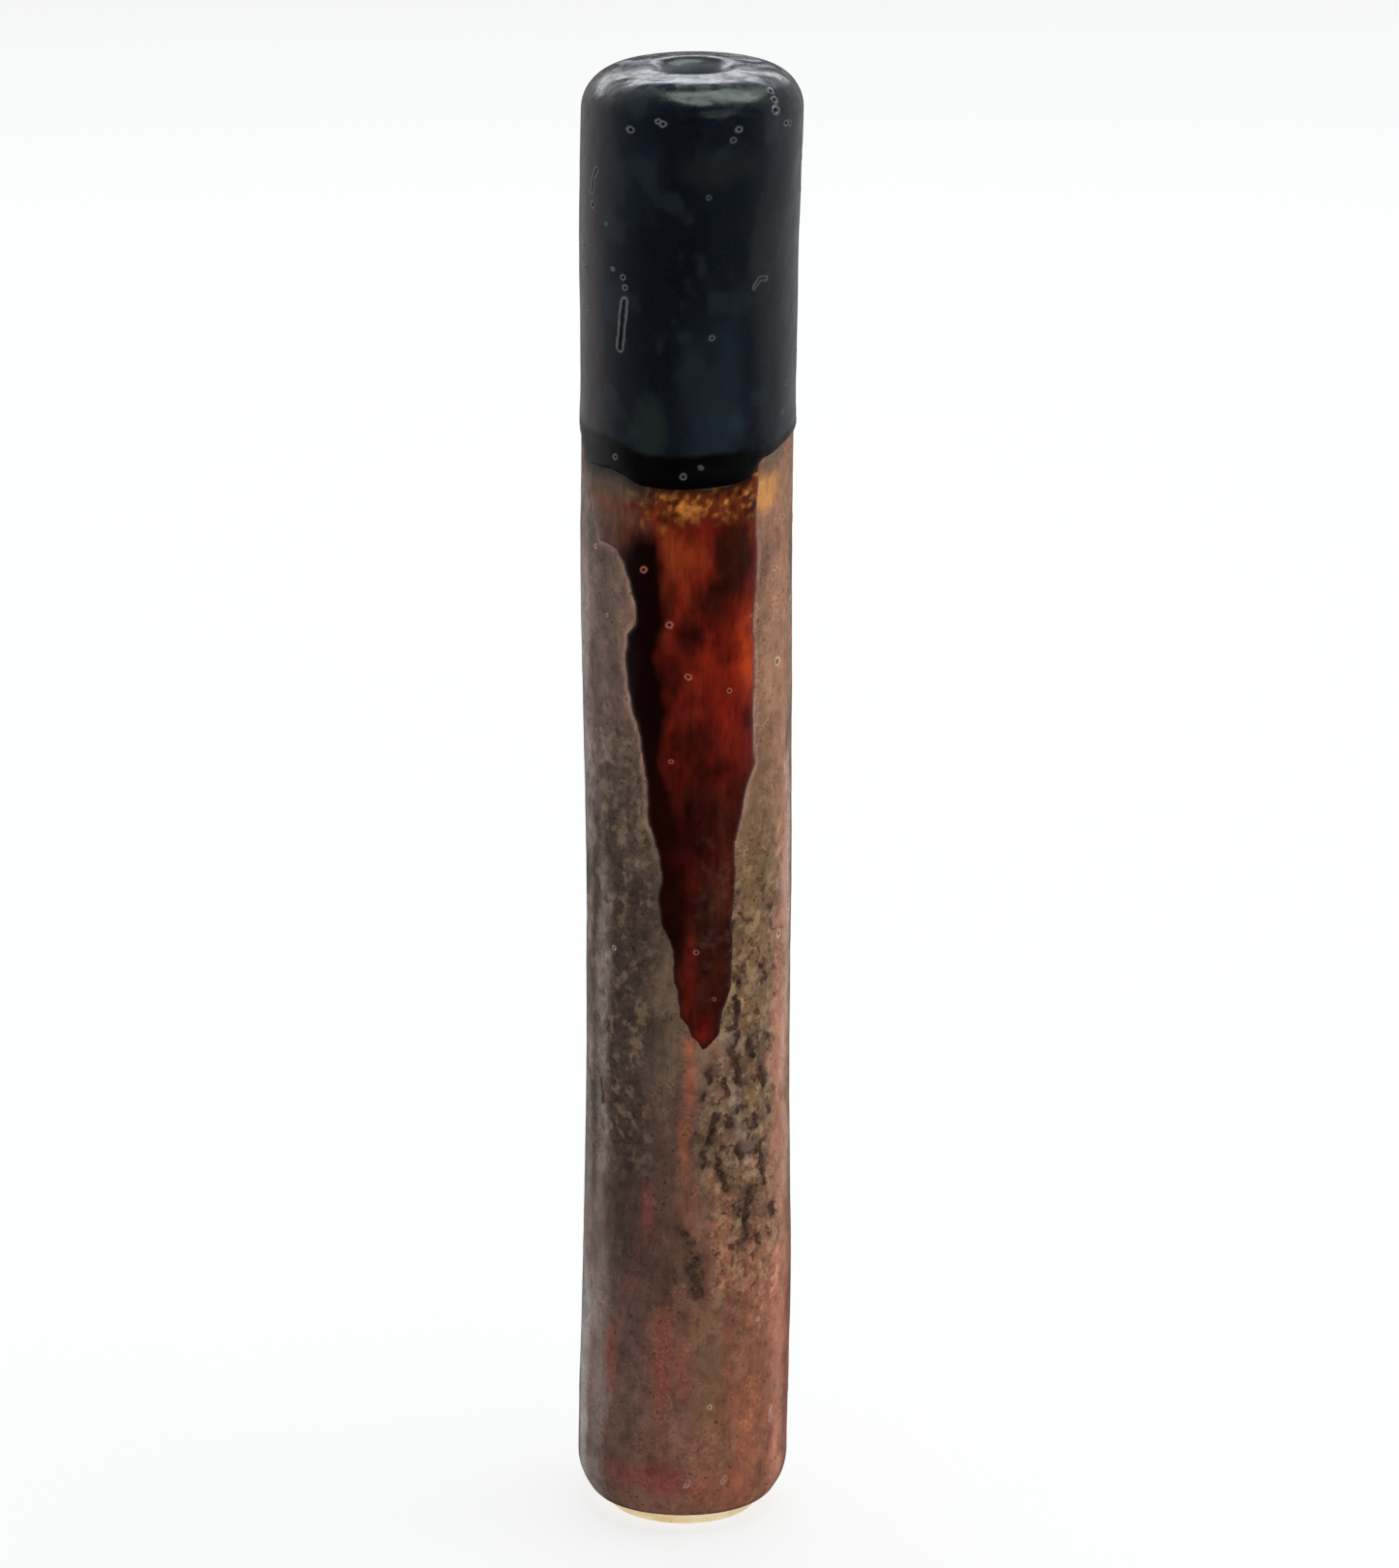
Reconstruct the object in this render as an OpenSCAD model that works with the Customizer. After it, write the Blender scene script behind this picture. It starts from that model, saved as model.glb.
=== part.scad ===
// Sake bottle: a tall, slender stoneware cylinder with a rounded shoulder, a small
// mouth flush in the top, and a bare clay foot. The clay body is built from a base,
// a wall and a shoulder. It carries a liner glaze inside, a matte brown glaze
// outside, a thick black glaze over the top, and a glossy amber run down the front.
// +Z is up, the origin is the middle of the foot's underside, the run faces -Y.

/* [Body] */
// Overall height, over the black glaze
body_h = 329; // [310:1:345]
// Largest outside diameter, over the glaze, at the shoulder and above the foot
body_d = 47; // [44:0.5:50]
// How far the wall draws in at the waist
waist_in = 1.1; // [0.4:0.1:1.6]
// Height of the waist
waist_z = 122; // [100:1:140]
// Radius of the rounded shoulder, on the clay
shoulder_r = 8; // [7:0.5:10]
// Radius of the rounded heel above the foot, on the clay
heel_r = 12; // [10:0.5:12]

/* [Clay] */
// Thickness of the clay wall
wall_t = 3.2; // [2.8:0.1:3.6]
// Thickness of the floor
floor_t = 6; // [5:0.5:8]
// Height of the bare foot up to where the heel starts to curve out
foot_h = 1.3; // [1:0.1:2]
// Height of the joint between the base and the wall
base_joint_z = 13; // [12:0.5:16]
// Distance from the top of the clay down to the joint between the wall and the shoulder
shoulder_joint = 19; // [18:0.5:22]

/* [Mouth] */
// Diameter of the mouth, inside its glaze
mouth_d = 12; // [11:0.5:13]
// Depth of the mouth from the top of the clay to the ceiling of the hollow
mouth_len = 8; // [7:0.5:10]
// Radius of the rounded lip, on the clay
lip_r = 3; // [1.5:0.5:3.5]
// How far the crown rises from the shoulder to the lip
crown_rise = 0.5; // [0.2:0.1:1]

/* [Glaze] */
// Thickness of the matte brown glaze
brown_t = 0.35; // [0.25:0.05:0.45]
// Thickness of the black glaze
black_t = 0.75; // [0.6:0.05:0.9]
// Thickness of the amber run
amber_t = 0.7; // [0.55:0.05:0.9]
// Thickness of the liner glaze
liner_t = 0.3; // [0.2:0.05:0.4]
// Thickness of the iron crust on the brown glaze
crust_t = 0.2; // [0.15:0.05:0.3]
// Height at which the brown glaze stops above the foot
glaze_stop_z = 2.6; // [2.2:0.1:3.2]
// Height of the lowest part of the black glaze's edge
dip_z = 241; // [235:1:250]
// Length of the amber run below the black glaze's edge
run_len = 126; // [110:1:150]

/* [Hidden] */
$fn = 96;

SIDE_STEPS = 18;          // slices along the side
ARC_STEPS = 8;            // steps round a quarter turn
reach = body_d;           // half the size of anything that cuts through the body
eps = 0.01;               // overlap that keeps a cut clean

clay_top_z = body_h - black_t;
clay_top_r = body_d / 2 - black_t;
clay_base_r = body_d / 2 - brown_t;
clay_waist_r = clay_base_r - waist_in;
mouth_clay_r = mouth_d / 2 + black_t;
ceiling_z = clay_top_z - mouth_len;
shoulder_z = clay_top_z - crown_rise - shoulder_r;
shoulder_joint_z = clay_top_z - shoulder_joint;
heel_c = clay_base_r - heel_r;
foot_r = heel_c + sqrt(pow(heel_r, 2) - pow(heel_r - foot_h, 2));
foot_bevel = 0.4;
inner_heel_r = 7;
inner_shoulder_r = 8;
inner_top_r = clay_top_r - wall_t;
inner_base_r = clay_base_r - wall_t;

// 0 to 1 with level ends
function ease(t) = let (u = min(max(t, 0), 1)) u * u * (3 - 2 * u);
function mix(a, b, t) = a + (b - a) * t;
function reverse(list) = [for (i = [len(list) - 1 : -1 : 0]) list[i]];

// Radius of the clay's outside at height z
function side_r(z) = z < waist_z
    ? mix(clay_base_r, clay_waist_r, ease((z - heel_r) / (waist_z - heel_r)))
    : mix(clay_waist_r, clay_top_r, ease((z - waist_z) / (shoulder_z - waist_z)));

// Points of an arc, from angle a to angle b
function arc(cr, cz, r, a, b) = [
    for (i = [0 : ARC_STEPS]) let (t = mix(a, b, i / ARC_STEPS)) [cr + r * cos(t), cz + r * sin(t)]
];

function sides(z0, z1, off) = [
    for (i = [1 : SIDE_STEPS - 1]) let (z = mix(z0, z1, i / SIDE_STEPS)) [side_r(z) + off, z]
];

// Angle on the heel's arc at which a coat of thickness off is at height z
function heel_angle(z, off) = -asin((heel_r - z) / (heel_r + off));

// The clay's outside, moved out by off, from height z0 on the heel up to the lip
function outside(off, z0) = concat(
    arc(heel_c, heel_r, heel_r + off, heel_angle(z0, off), 0),
    sides(heel_r, shoulder_z, off),
    arc(clay_top_r - shoulder_r, shoulder_z, shoulder_r + off, 0, 90),
    arc(mouth_clay_r + lip_r, clay_top_z - lip_r, lip_r + off, 90, 180)
);

// The side alone, moved out by off, between two heights
function side_only(off, z0, z1) = concat([[side_r(z0) + off, z0]], sides(z0, z1, off), [[side_r(z1) + off, z1]]);

// The hollow in the clay, made smaller by off, from the floor's middle to the mouth
function hollow(off) = concat(
    [[0, floor_t + off]],
    arc(inner_base_r - inner_heel_r, floor_t + inner_heel_r, inner_heel_r - off, -90, 0),
    [
        for (p = sides(floor_t + inner_heel_r, ceiling_z - inner_shoulder_r, -wall_t - off))
            if (p[1] < shoulder_z) p
    ],
    arc(inner_top_r - inner_shoulder_r, ceiling_z - inner_shoulder_r, inner_shoulder_r - off, 0, 90)
);

// A ring of a coat, between two profiles that run the same way
module coat(inner, outer) {
    rotate_extrude() polygon(concat(outer, reverse(inner)));
}

// Everything between two heights
module between(z0, z1) {
    translate([0, 0, z0]) cylinder(h = z1 - z0, r = reach);
}

// An outline of [x, z] points carried straight through the front half of the body
module front_cut(outline) {
    rotate([90, 0, 0]) linear_extrude(height = reach) polygon(outline);
}

// The same through the back half
module back_cut(outline) {
    translate([0, reach, 0]) rotate([90, 0, 0]) linear_extrude(height = reach) polygon(outline);
}

// The black glaze's wavy lower edge, as [share of the body's radius, height above dip_z]
dip_front = [
    [-1.2, 9], [-0.97, 8.5], [-0.92, 4], [-0.86, 2.5], [-0.7, 4], [-0.55, 3],
    [-0.43, 0.5], [-0.1, 0], [0.25, 0.5], [0.48, 1.5], [0.59, 3], [0.66, 7], [0.83, 8], [1.2, 9]
];
dip_back = [[-1.2, 9], [-0.8, 7], [-0.5, 3], [-0.1, 1], [0.3, 2.5], [0.6, 7], [0.85, 9.5], [1.2, 9]];

function dip_outline(edge) = concat(
    [for (p = edge) [p[0] * body_d / 2, dip_z + p[1]]],
    [[1.2 * body_d / 2, body_h + 1], [-1.2 * body_d / 2, body_h + 1]]
);

// The amber run's two edges, from its top down to its tip,
// as [share of the body's radius, share of the run's length]
run_left = [
    [-0.88, -0.1], [-0.86, 0.05], [-0.8, 0.11], [-0.63, 0.11], [-0.52, 0.17], [-0.46, 0.23],
    [-0.56, 0.27], [-0.56, 0.36], [-0.43, 0.46], [-0.37, 0.58], [-0.27, 0.66], [-0.3, 0.73],
    [-0.17, 0.82], [-0.1, 0.92], [0.05, 0.985]
];
run_right = [
    [0.2, 1], [0.29, 0.97], [0.36, 0.91], [0.4, 0.85], [0.4, 0.75], [0.44, 0.64], [0.51, 0.57],
    [0.62, 0.49], [0.62, 0.3], [0.66, 0.12], [0.64, -0.1]
];

function run_outline() = [
    for (p = concat(run_left, run_right)) [p[0] * body_d / 2, dip_z - p[1] * run_len]
];

// Streaks of crust right of the run's tip, as [x, z, length, width, lean in degrees]
crust_streaks = [
    [6.5, 96, 9, 2.2, -22], [10.5, 109, 5, 2, 10], [13.6, 83, 7, 2.4, 12],
    [14, 70, 9, 2.2, -4], [2, 60, 11, 3.2, 8], [9.5, 129, 5, 1.8, -15], [11.5, 57, 5, 1.8, 20]
];

module dip_region() {
    front_cut(dip_outline(dip_front));
    back_cut(dip_outline(dip_back));
}

module run_region() {
    front_cut(run_outline());
}

// A streak outline: a bar with round ends, standing upright and leaning
module streak(x, z, l, w, lean) {
    rotate([90, 0, 0]) linear_extrude(height = reach) translate([x, z]) rotate(lean) {
        square([w, l - w], center = true);
        translate([0, (l - w) / 2]) circle(d = w, $fn = 24);
        translate([0, (w - l) / 2]) circle(d = w, $fn = 24);
    }
}

module clay_body() {
    rotate_extrude() polygon(concat(
        hollow(0),
        [[mouth_clay_r, ceiling_z]],
        reverse(outside(0, foot_h)),
        [[foot_r, foot_bevel], [foot_r - foot_bevel, 0], [0, 0]]
    ));
}

module clay_base() {
    color("#d3b27c") intersection() {
        clay_body();
        between(-1, base_joint_z);
    }
}

module clay_wall() {
    color("#c9a874") intersection() {
        clay_body();
        between(base_joint_z, shoulder_joint_z);
    }
}

module clay_shoulder() {
    color("#c2a06e") intersection() {
        clay_body();
        between(shoulder_joint_z, body_h + 1);
    }
}

module liner_glaze() {
    color("#5a463c") rotate_extrude() polygon(concat(
        hollow(0),
        [[mouth_clay_r, ceiling_z], [mouth_clay_r, ceiling_z - liner_t]],
        reverse(hollow(liner_t))
    ));
}

module brown_glaze() {
    color("#75604f") difference() {
        intersection() {
            coat(outside(0, glaze_stop_z), outside(brown_t, glaze_stop_z));
            between(0, dip_z + 20);
        }
        dip_region();
        run_region();
    }
}

module black_glaze() {
    mouth_end = ceiling_z - liner_t;
    color("#141b21") intersection() {
        coat(
            concat(outside(0, foot_h), [[mouth_clay_r, mouth_end]]),
            concat(outside(black_t, foot_h), [[mouth_d / 2, mouth_end]])
        );
        dip_region();
    }
}

module amber_run() {
    z0 = dip_z - run_len - 5;
    z1 = dip_z + 15;
    color("#7a2410") difference() {
        intersection() {
            coat(side_only(0, z0, z1), side_only(amber_t, z0, z1));
            run_region();
        }
        dip_region();
    }
}

module iron_crust() {
    z0 = 45;
    z1 = 140;
    color("#2e2019") intersection() {
        coat(side_only(brown_t, z0, z1), side_only(brown_t + crust_t, z0, z1));
        union() {
            for (s = crust_streaks) streak(s[0], s[1], s[2], s[3], s[4]);
        }
    }
}

clay_base();
clay_wall();
clay_shoulder();
liner_glaze();
brown_glaze();
black_glaze();
amber_run();
iron_crust();
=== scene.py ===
"""Sake bottle: a hand-made stoneware cylinder with a black dipped top, an amber run
down the front, a mottled matte brown body and a bare clay foot.

Each coat is a closed solid laid on the clay by the same rule, so they all share the
bottle's slight unevenness. Sizes are in millimetres and become metres when a mesh is
made. Azimuth 0 is the front, -Y, and grows towards +X."""
import math

import bmesh
import bpy
import numpy as np
from mathutils import Matrix, Vector


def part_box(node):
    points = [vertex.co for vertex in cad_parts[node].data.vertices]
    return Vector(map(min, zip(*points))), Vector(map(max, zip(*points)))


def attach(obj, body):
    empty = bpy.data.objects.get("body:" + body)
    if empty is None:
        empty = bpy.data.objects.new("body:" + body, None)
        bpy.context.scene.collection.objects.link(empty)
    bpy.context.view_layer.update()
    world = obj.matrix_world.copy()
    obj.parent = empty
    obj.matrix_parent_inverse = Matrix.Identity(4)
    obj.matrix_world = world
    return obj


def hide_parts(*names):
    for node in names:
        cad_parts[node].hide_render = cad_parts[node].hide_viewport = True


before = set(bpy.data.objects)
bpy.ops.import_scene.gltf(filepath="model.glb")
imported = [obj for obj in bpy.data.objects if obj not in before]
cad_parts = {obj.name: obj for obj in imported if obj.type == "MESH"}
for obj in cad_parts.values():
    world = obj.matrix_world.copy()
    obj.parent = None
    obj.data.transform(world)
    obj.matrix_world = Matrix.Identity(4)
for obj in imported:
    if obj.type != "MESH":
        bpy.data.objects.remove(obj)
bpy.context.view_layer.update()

MM = 0.001

# ---- sizes, in mm


def node_box(name):
    """A CAD node's lowest and highest corner, in mm."""
    lo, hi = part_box(name)
    return np.array(lo) / MM, np.array(hi) / MM


CLAY_TOP_Z = node_box("clay_shoulder")[1][2]
CLAY_TOP_R = node_box("clay_shoulder")[1][0]
CLAY_BASE_R = node_box("clay_base")[1][0]
BASE_JOINT_Z = node_box("clay_base")[1][2]
SHOULDER_JOINT_Z = node_box("clay_shoulder")[0][2]
TOP_Z = node_box("black_glaze")[1][2]
BLACK_T = TOP_Z - CLAY_TOP_Z
BROWN_T = node_box("brown_glaze")[1][0] - CLAY_BASE_R
GLAZE_STOP_Z = node_box("brown_glaze")[0][2]
DIP_Z = node_box("black_glaze")[0][2]

# The rest of the clay's and liner's sizes, as in the CAD's source
LINER_T = 0.3
WAIST_IN = 1.1
WAIST_Z = 122
SHOULDER_R = 8
HEEL_R = 12
LIP_R = 3
CROWN_RISE = 0.5
MOUTH_R = 6
MOUTH_LEN = 8
WALL_T = 3.2
FLOOR_T = 6
FOOT_H = 1.3
FOOT_BEVEL = 0.4
INNER_HEEL_R = 7
INNER_SHOULDER_R = 8

# How much higher the brown glaze stops above the foot than in the CAD, as in the photo
BARE_RISE = 0.75
# How far below the clay's true surface the faces hidden between clay and glaze lie
TUCK = 0.05
# Spacing of the points along a profile
PATH_STEP = 0.1
# Points round the bottle, and up it, in the two large coats' outer faces
BROWN_GRID = (236, 376)
BLACK_GRID = (244, 186)
# Points round the clay's walls and the liner, and round the base
WALL_COUNT = 120
BASE_COUNT = 180
# Spacing of the points in the run and in the crust
RUN_STEP = 0.45
CRUST_STEP = 0.3
# The unevenness ends at this height. It fades out over these distances: up to there, down to the
# foot and in to the mouth
FADE_TOP_Z = TOP_Z + 4
FADE_UP = 16
FADE_DOWN = 14
FADE_IN = 10

MOUTH_CLAY_R = MOUTH_R + BLACK_T
CEILING_Z = CLAY_TOP_Z - MOUTH_LEN
SHOULDER_Z = CLAY_TOP_Z - CROWN_RISE - SHOULDER_R
HEEL_C = CLAY_BASE_R - HEEL_R
FOOT_R = HEEL_C + math.sqrt(HEEL_R**2 - (HEEL_R - FOOT_H) ** 2)


def ease(t):
    """0 to 1 with level ends."""
    t = np.clip(t, 0.0, 1.0)
    return t * t * (3 - 2 * t)


def mix(a, b, t):
    """a at 0 to b at 1."""
    return a + (b - a) * t


def side_r(z):
    """Radius of the clay's outside at height z."""
    waist_r = CLAY_BASE_R - WAIST_IN
    below = mix(CLAY_BASE_R, waist_r, ease((z - HEEL_R) / (WAIST_Z - HEEL_R)))
    above = mix(waist_r, CLAY_TOP_R, ease((z - WAIST_Z) / (SHOULDER_Z - WAIST_Z)))
    return np.where(z < WAIST_Z, below, above)


# ---- noise


def value_noise(az, z, cell, seed, stretch=1.0):
    """A smooth random field from -1 to 1 on the bottle's side, seamless round it. cell is its grain in mm,
    and stretch is how much longer the grain is upright."""
    cols = max(3, round(2 * math.pi * CLAY_TOP_R / cell))
    rows = int(400 / (cell * stretch)) + 6
    lattice = np.random.default_rng(seed).uniform(-1, 1, (rows, cols))
    u = (az / (2 * math.pi)) % 1.0 * cols
    v = np.clip((z + 20) / (cell * stretch), 0, rows - 2.001)
    iu, iv = np.floor(u).astype(int), np.floor(v).astype(int)
    fu, fv = ease(u - iu), ease(v - iv)
    iu %= cols
    ju = (iu + 1) % cols
    low = mix(lattice[iv, iu], lattice[iv, ju], fu)
    high = mix(lattice[iv + 1, iu], lattice[iv + 1, ju], fu)
    return mix(low, high, fv)


def fbm(az, z, cell, seed, stretch=1.0, octaves=3):
    """Noise with finer grain added, about -1 to 1."""
    total, size = 0.0, 0.0
    for i in range(octaves):
        total = total + value_noise(az, z, cell / 2**i, seed + 31 * i, stretch) / 2**i
        size += 1 / 2**i
    return total / size * 1.4


# ---- the uneven body

# How far the bottle's axis strays sideways, as (height, shift)
BEND = [(0, -0.2), (18, -0.15), (52, 0.55), (100, 0.55), (150, 0.65), (181, 0.1), (220, -0.45), (260, -0.3),
        (290, -0.4), (310, 0.05), (329, 0.45)]
# How much wider or narrower than the plain profile it is, as (height, growth of the radius)
GIRTH = [(0, 0), (30, 0.15), (60, 0.3), (95, 0), (125, 0.1), (160, 0.15), (205, 0.25), (240, 0), (262, -0.3),
         (290, -0.1), (308, 0.15), (329, 0.15)]
# How much higher the top is on the right than on the left, per mm across
TOP_TILT = 0.011


def along(pairs, z):
    """The second numbers of pairs at height z, rounded off."""
    heights, values = zip(*pairs)
    samples = np.arange(-40, 380, 2.0)
    raw = np.interp(samples, heights, values)
    window = np.hanning(17)
    return np.interp(z, samples, np.convolve(raw, window / window.sum(), "same"))


def bend(z):
    """How far the axis strays sideways at height z."""
    return along(BEND, z)


def wobble(az, z, r):
    """How far the surface stands out from a true round at that place."""
    near_axis = ease((r - MOUTH_R - 1) / FADE_IN)
    oval = 0.12 * np.cos(2 * az + z / 90) + 0.08 * np.cos(3 * az - z / 60 + 1)
    lumps = 0.16 * fbm(az, z, 30, 11, 1.4, 2) + 0.05 * fbm(az, z, 8, 12, 1.0, 2)
    below_top = ease((FADE_TOP_Z - z) / FADE_UP)
    return near_axis * ease(z / FADE_DOWN) * (along(GIRTH, z) + below_top * (oval + lumps))


class Path:
    """A profile of the clay from bottom to top, with the distance along it and the way out from the clay."""

    def __init__(self, points, outwards=1):
        p = np.array(points, float)
        gaps = np.hypot(*np.diff(p, axis=0).T)
        keep = np.concatenate([[True], gaps > 1e-6])
        p = p[keep]
        self.s = np.concatenate([[0], np.cumsum(np.hypot(*np.diff(p, axis=0).T))])
        dense = np.arange(0, self.s[-1], PATH_STEP)
        self.r = np.interp(dense, self.s, p[:, 0])
        self.z = np.interp(dense, self.s, p[:, 1])
        self.s = dense
        dr, dz = np.gradient(self.r), np.gradient(self.z)
        size = np.hypot(dr, dz)
        box = np.ones(7) / 7
        self.nr = np.convolve(np.pad(outwards * dz / size, 3, "edge"), box, "valid")
        self.nz = np.convolve(np.pad(-outwards * dr / size, 3, "edge"), box, "valid")

    def at_height(self, z):
        """Distance along the path at which it first reaches height z."""
        return self.s[np.nonzero(self.z >= z)[0][0]]

    def place(self, s, az, off):
        """Points of the uneven surface, off mm out from the clay."""
        r = np.interp(s, self.s, self.r) + off * np.interp(s, self.s, self.nr)
        z = np.interp(s, self.s, self.z) + off * np.interp(s, self.s, self.nz)
        r = r + wobble(az, z, r)
        lift = TOP_TILT * r * np.sin(az) * ease((z - 285) / 40)
        return np.stack([r * np.sin(az) + bend(z), -r * np.cos(az), z + lift], -1)


def arc(cr, cz, radius, a, b, count=40):
    """Points on an arc round (cr, cz), from angle a to angle b in degrees."""
    t = np.radians(np.linspace(a, b, count))
    return [(cr + radius * c, cz + radius * s) for c, s in zip(np.cos(t), np.sin(t))]


def outside_points():
    """The clay's outside, from the foot up and over the lip to the mouth's inner end."""
    heel_start = -math.degrees(math.asin((HEEL_R - FOOT_H) / HEEL_R))
    sides = [(float(side_r(z)), z) for z in np.arange(HEEL_R, SHOULDER_Z, 1.0)]
    return (
        [(FOOT_R - FOOT_BEVEL, 0), (FOOT_R, FOOT_BEVEL)]
        + arc(HEEL_C, HEEL_R, HEEL_R, heel_start, 0)
        + sides
        + arc(CLAY_TOP_R - SHOULDER_R, SHOULDER_Z, SHOULDER_R, 0, 90)
        + arc(MOUTH_CLAY_R + LIP_R, CLAY_TOP_Z - LIP_R, LIP_R, 90, 180)
        + [(MOUTH_CLAY_R, CEILING_Z - LINER_T)]
    )


def hollow_points():
    """The hollow, from the middle of the floor up to the mouth."""
    wall_r = CLAY_BASE_R - WALL_T
    heights = np.arange(FLOOR_T + INNER_HEEL_R, CEILING_Z - INNER_SHOULDER_R, 2.0)
    return (
        [(0, FLOOR_T)]
        + arc(wall_r - INNER_HEEL_R, FLOOR_T + INNER_HEEL_R, INNER_HEEL_R, -90, 0)
        + [(float(side_r(z)) - WALL_T, z) for z in heights]
        + arc(CLAY_TOP_R - WALL_T - INNER_SHOULDER_R, CEILING_Z - INNER_SHOULDER_R, INNER_SHOULDER_R, 0, 90)
        + [(MOUTH_CLAY_R, CEILING_Z)]
    )


OUTSIDE = Path(outside_points())
HOLLOW = Path(hollow_points(), outwards=-1)

# ---- outlines on the front

# The black glaze's lower edge, as (azimuth in degrees, height above its lowest point)
DIP_EDGE = [
    (-180, 6), (-168, 4.6), (-158, 3.3), (-150, 2.9), (-142, 3.4), (-132, 4.8), (-120, 6.8), (-108, 8.2),
    (-95, 8.8), (-85, 8.3), (-76, 6.8), (-69, 3.6), (-64, 2.6), (-56, 3.0), (-46, 3.2), (-35, 2.2),
    (-29, 1.0), (-25, 0.4), (-8, 0.2), (8, 0.6), (22, 0.9), (30, 1.4), (37, 2.4), (41, 4.6), (45, 5.8),
    (58, 6.8), (73, 8.2), (95, 9.2), (108, 7.4), (118, 5.9), (126, 5.3), (134, 5.9), (142, 7.0),
    (152, 8.0), (166, 7.4), (180, 6),
]

# The amber run's edges, as (height, azimuth in degrees)
RUN_LEFT = [
    (252, -62), (240, -64), (236, -63), (231, -59), (228, -54), (227, -41), (225, -36.5), (221, -32),
    (216, -28.5), (211, -28), (208.5, -33.5), (203, -35), (196, -34), (191, -31), (186, -26), (180, -24.5),
    (173, -23), (166, -21.5), (160, -17), (153, -15.5), (149, -17.5), (143, -14), (137, -9), (131, -7.5),
    (122, -4), (118, 3), (115.4, 9),
]
RUN_RIGHT = [
    (252, 44), (240, 42), (235, 40.5), (227, 42), (220, 41), (210, 39), (200, 39.5), (190, 38.5),
    (179, 39.5), (174, 34), (169, 31), (162, 26), (153, 26.5), (144, 23.5), (137, 25), (129, 24),
    (124, 20), (118, 17), (115.4, 11),
]

# Streaks of raised crust, as (azimuth, height, azimuth, height, half-width in mm)
CRUST_STREAKS = [
    (16.0, 99.5, 11.5, 93.0, 1.0), (9.5, 91.0, 8.0, 88.0, 0.7), (27.5, 126, 26.5, 119.5, 0.8),
    (30, 118, 25.5, 113.5, 0.8), (27.5, 112, 30, 106.5, 1.0), (11, 109.8, 12, 107.6, 0.8),
    (9, 105, 8, 103, 0.6), (16, 89, 19, 85.5, 0.8), (20.5, 84.5, 22.5, 82, 0.9), (38, 80.5, 35, 74, 1.1),
    (35, 73, 33, 69.5, 0.9), (3, 65.8, 4, 62, 1.3), (4.5, 61.5, 6, 58, 1.3), (-1.5, 73.5, 0, 71, 0.8),
    (1, 69.5, 1.6, 68, 0.8), (44, 88.5, 45, 86, 0.7), (47, 84, 48.5, 81.5, 0.8), (54, 76, 55.5, 73, 0.7),
    (41, 98, 43, 95, 0.6), (37, 115.5, 40, 111.5, 0.7), (45, 108, 47, 104.5, 0.7),
    (29, 131, 30, 128.5, 0.6), (20, 107, 22, 104, 0.7), (24, 99, 25.5, 96.5, 0.6), (30, 91, 31.5, 88, 0.7),
    (30, 77.5, 31, 75.5, 0.6), (42, 70, 43, 67.5, 0.7), (45, 133, 46.5, 130, 0.6),
    (-57, 104, -56, 100, 0.6), (-50, 118, -51, 115.5, 0.5),
]

# Marks in the glaze surface: pits with raised rims, a long scar and faint arcs.
# Each is (radius of the rim in mm, height of the rim, depth of the pit, [(azimuth, height), ...])
BLACK_MARKS = [
    (0.60, 0.12, 0.35, [(-33, 319.3)]), (0.50, 0.10, 0.25, [(-15.0, 321.2)]),
    (0.42, 0.09, 0.25, [(-17.8, 321.6)]), (0.80, 0.24, 0.45, [(49, 322.6)]),
    (0.55, 0.18, 0.35, [(50.5, 324.6)]), (0.40, 0.12, 0.30, [(51.5, 326.2)]),
    (0.50, 0.09, 0.20, [(25, 319.8)]), (0.50, 0.06, 0.12, [(22, 317.6)]), (0.55, 0.10, 0.20, [(57, 319.5)]),
    (0.40, 0.08, 0.15, [(61, 319.0)]), (0.62, 0.12, 0.22, [(-60, 301.2)]),
    (0.45, 0.10, 0.10, [(-57, 309), (-60, 307), (-61, 304)]), (0.50, 0.12, 0.35, [(-71, 291.4)]),
    (0.42, 0.10, 0.30, [(-74, 288.2)]), (0.45, 0.11, 0.30, [(-69.5, 286.6)]),
    (0.40, 0.08, 0.20, [(-43, 288.5)]), (0.48, 0.12, 0.25, [(-36.5, 287.2)]),
    (0.50, 0.13, 0.30, [(-35.0, 284.9)]),
    (0.80, 0.13, 0.16, [(-35.5, 282.0), (-37.0, 277.5), (-38.5, 271.5)]),
    (0.40, 0.06, 0.00, [(37, 285.0), (40.5, 286.8), (44.5, 286.6)]), (0.50, 0.06, 0.10, [(13, 274.9)]),
    (0.45, 0.05, 0.10, [(10, 305.5)]), (0.45, 0.08, 0.15, [(-41, 247.4)]),
    (0.55, 0.07, 0.12, [(-2, 244.6)]), (0.45, 0.06, 0.12, [(7, 246.6)]), (0.42, 0.06, 0.12, [(64, 262)]),
    (0.42, 0.06, 0.12, [(60, 256)]), (0.40, 0.08, 0.12, [(-66, 278)]), (0.40, 0.06, 0.10, [(-48, 298)]),
]
AMBER_MARKS = [
    (0.60, 0.08, 0.18, [(-23, 223.5)]), (0.60, 0.08, 0.18, [(-9, 211.6)]), (0.60, 0.08, 0.18, [(1, 200.1)]),
    (0.40, 0.06, 0.12, [(-9, 181)]), (0.40, 0.06, 0.12, [(23, 196.5)]), (0.40, 0.06, 0.12, [(37, 212.5)]),
    (0.40, 0.06, 0.12, [(4, 137.5)]), (0.35, 0.05, 0.10, [(14, 126.5)]),
]
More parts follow.
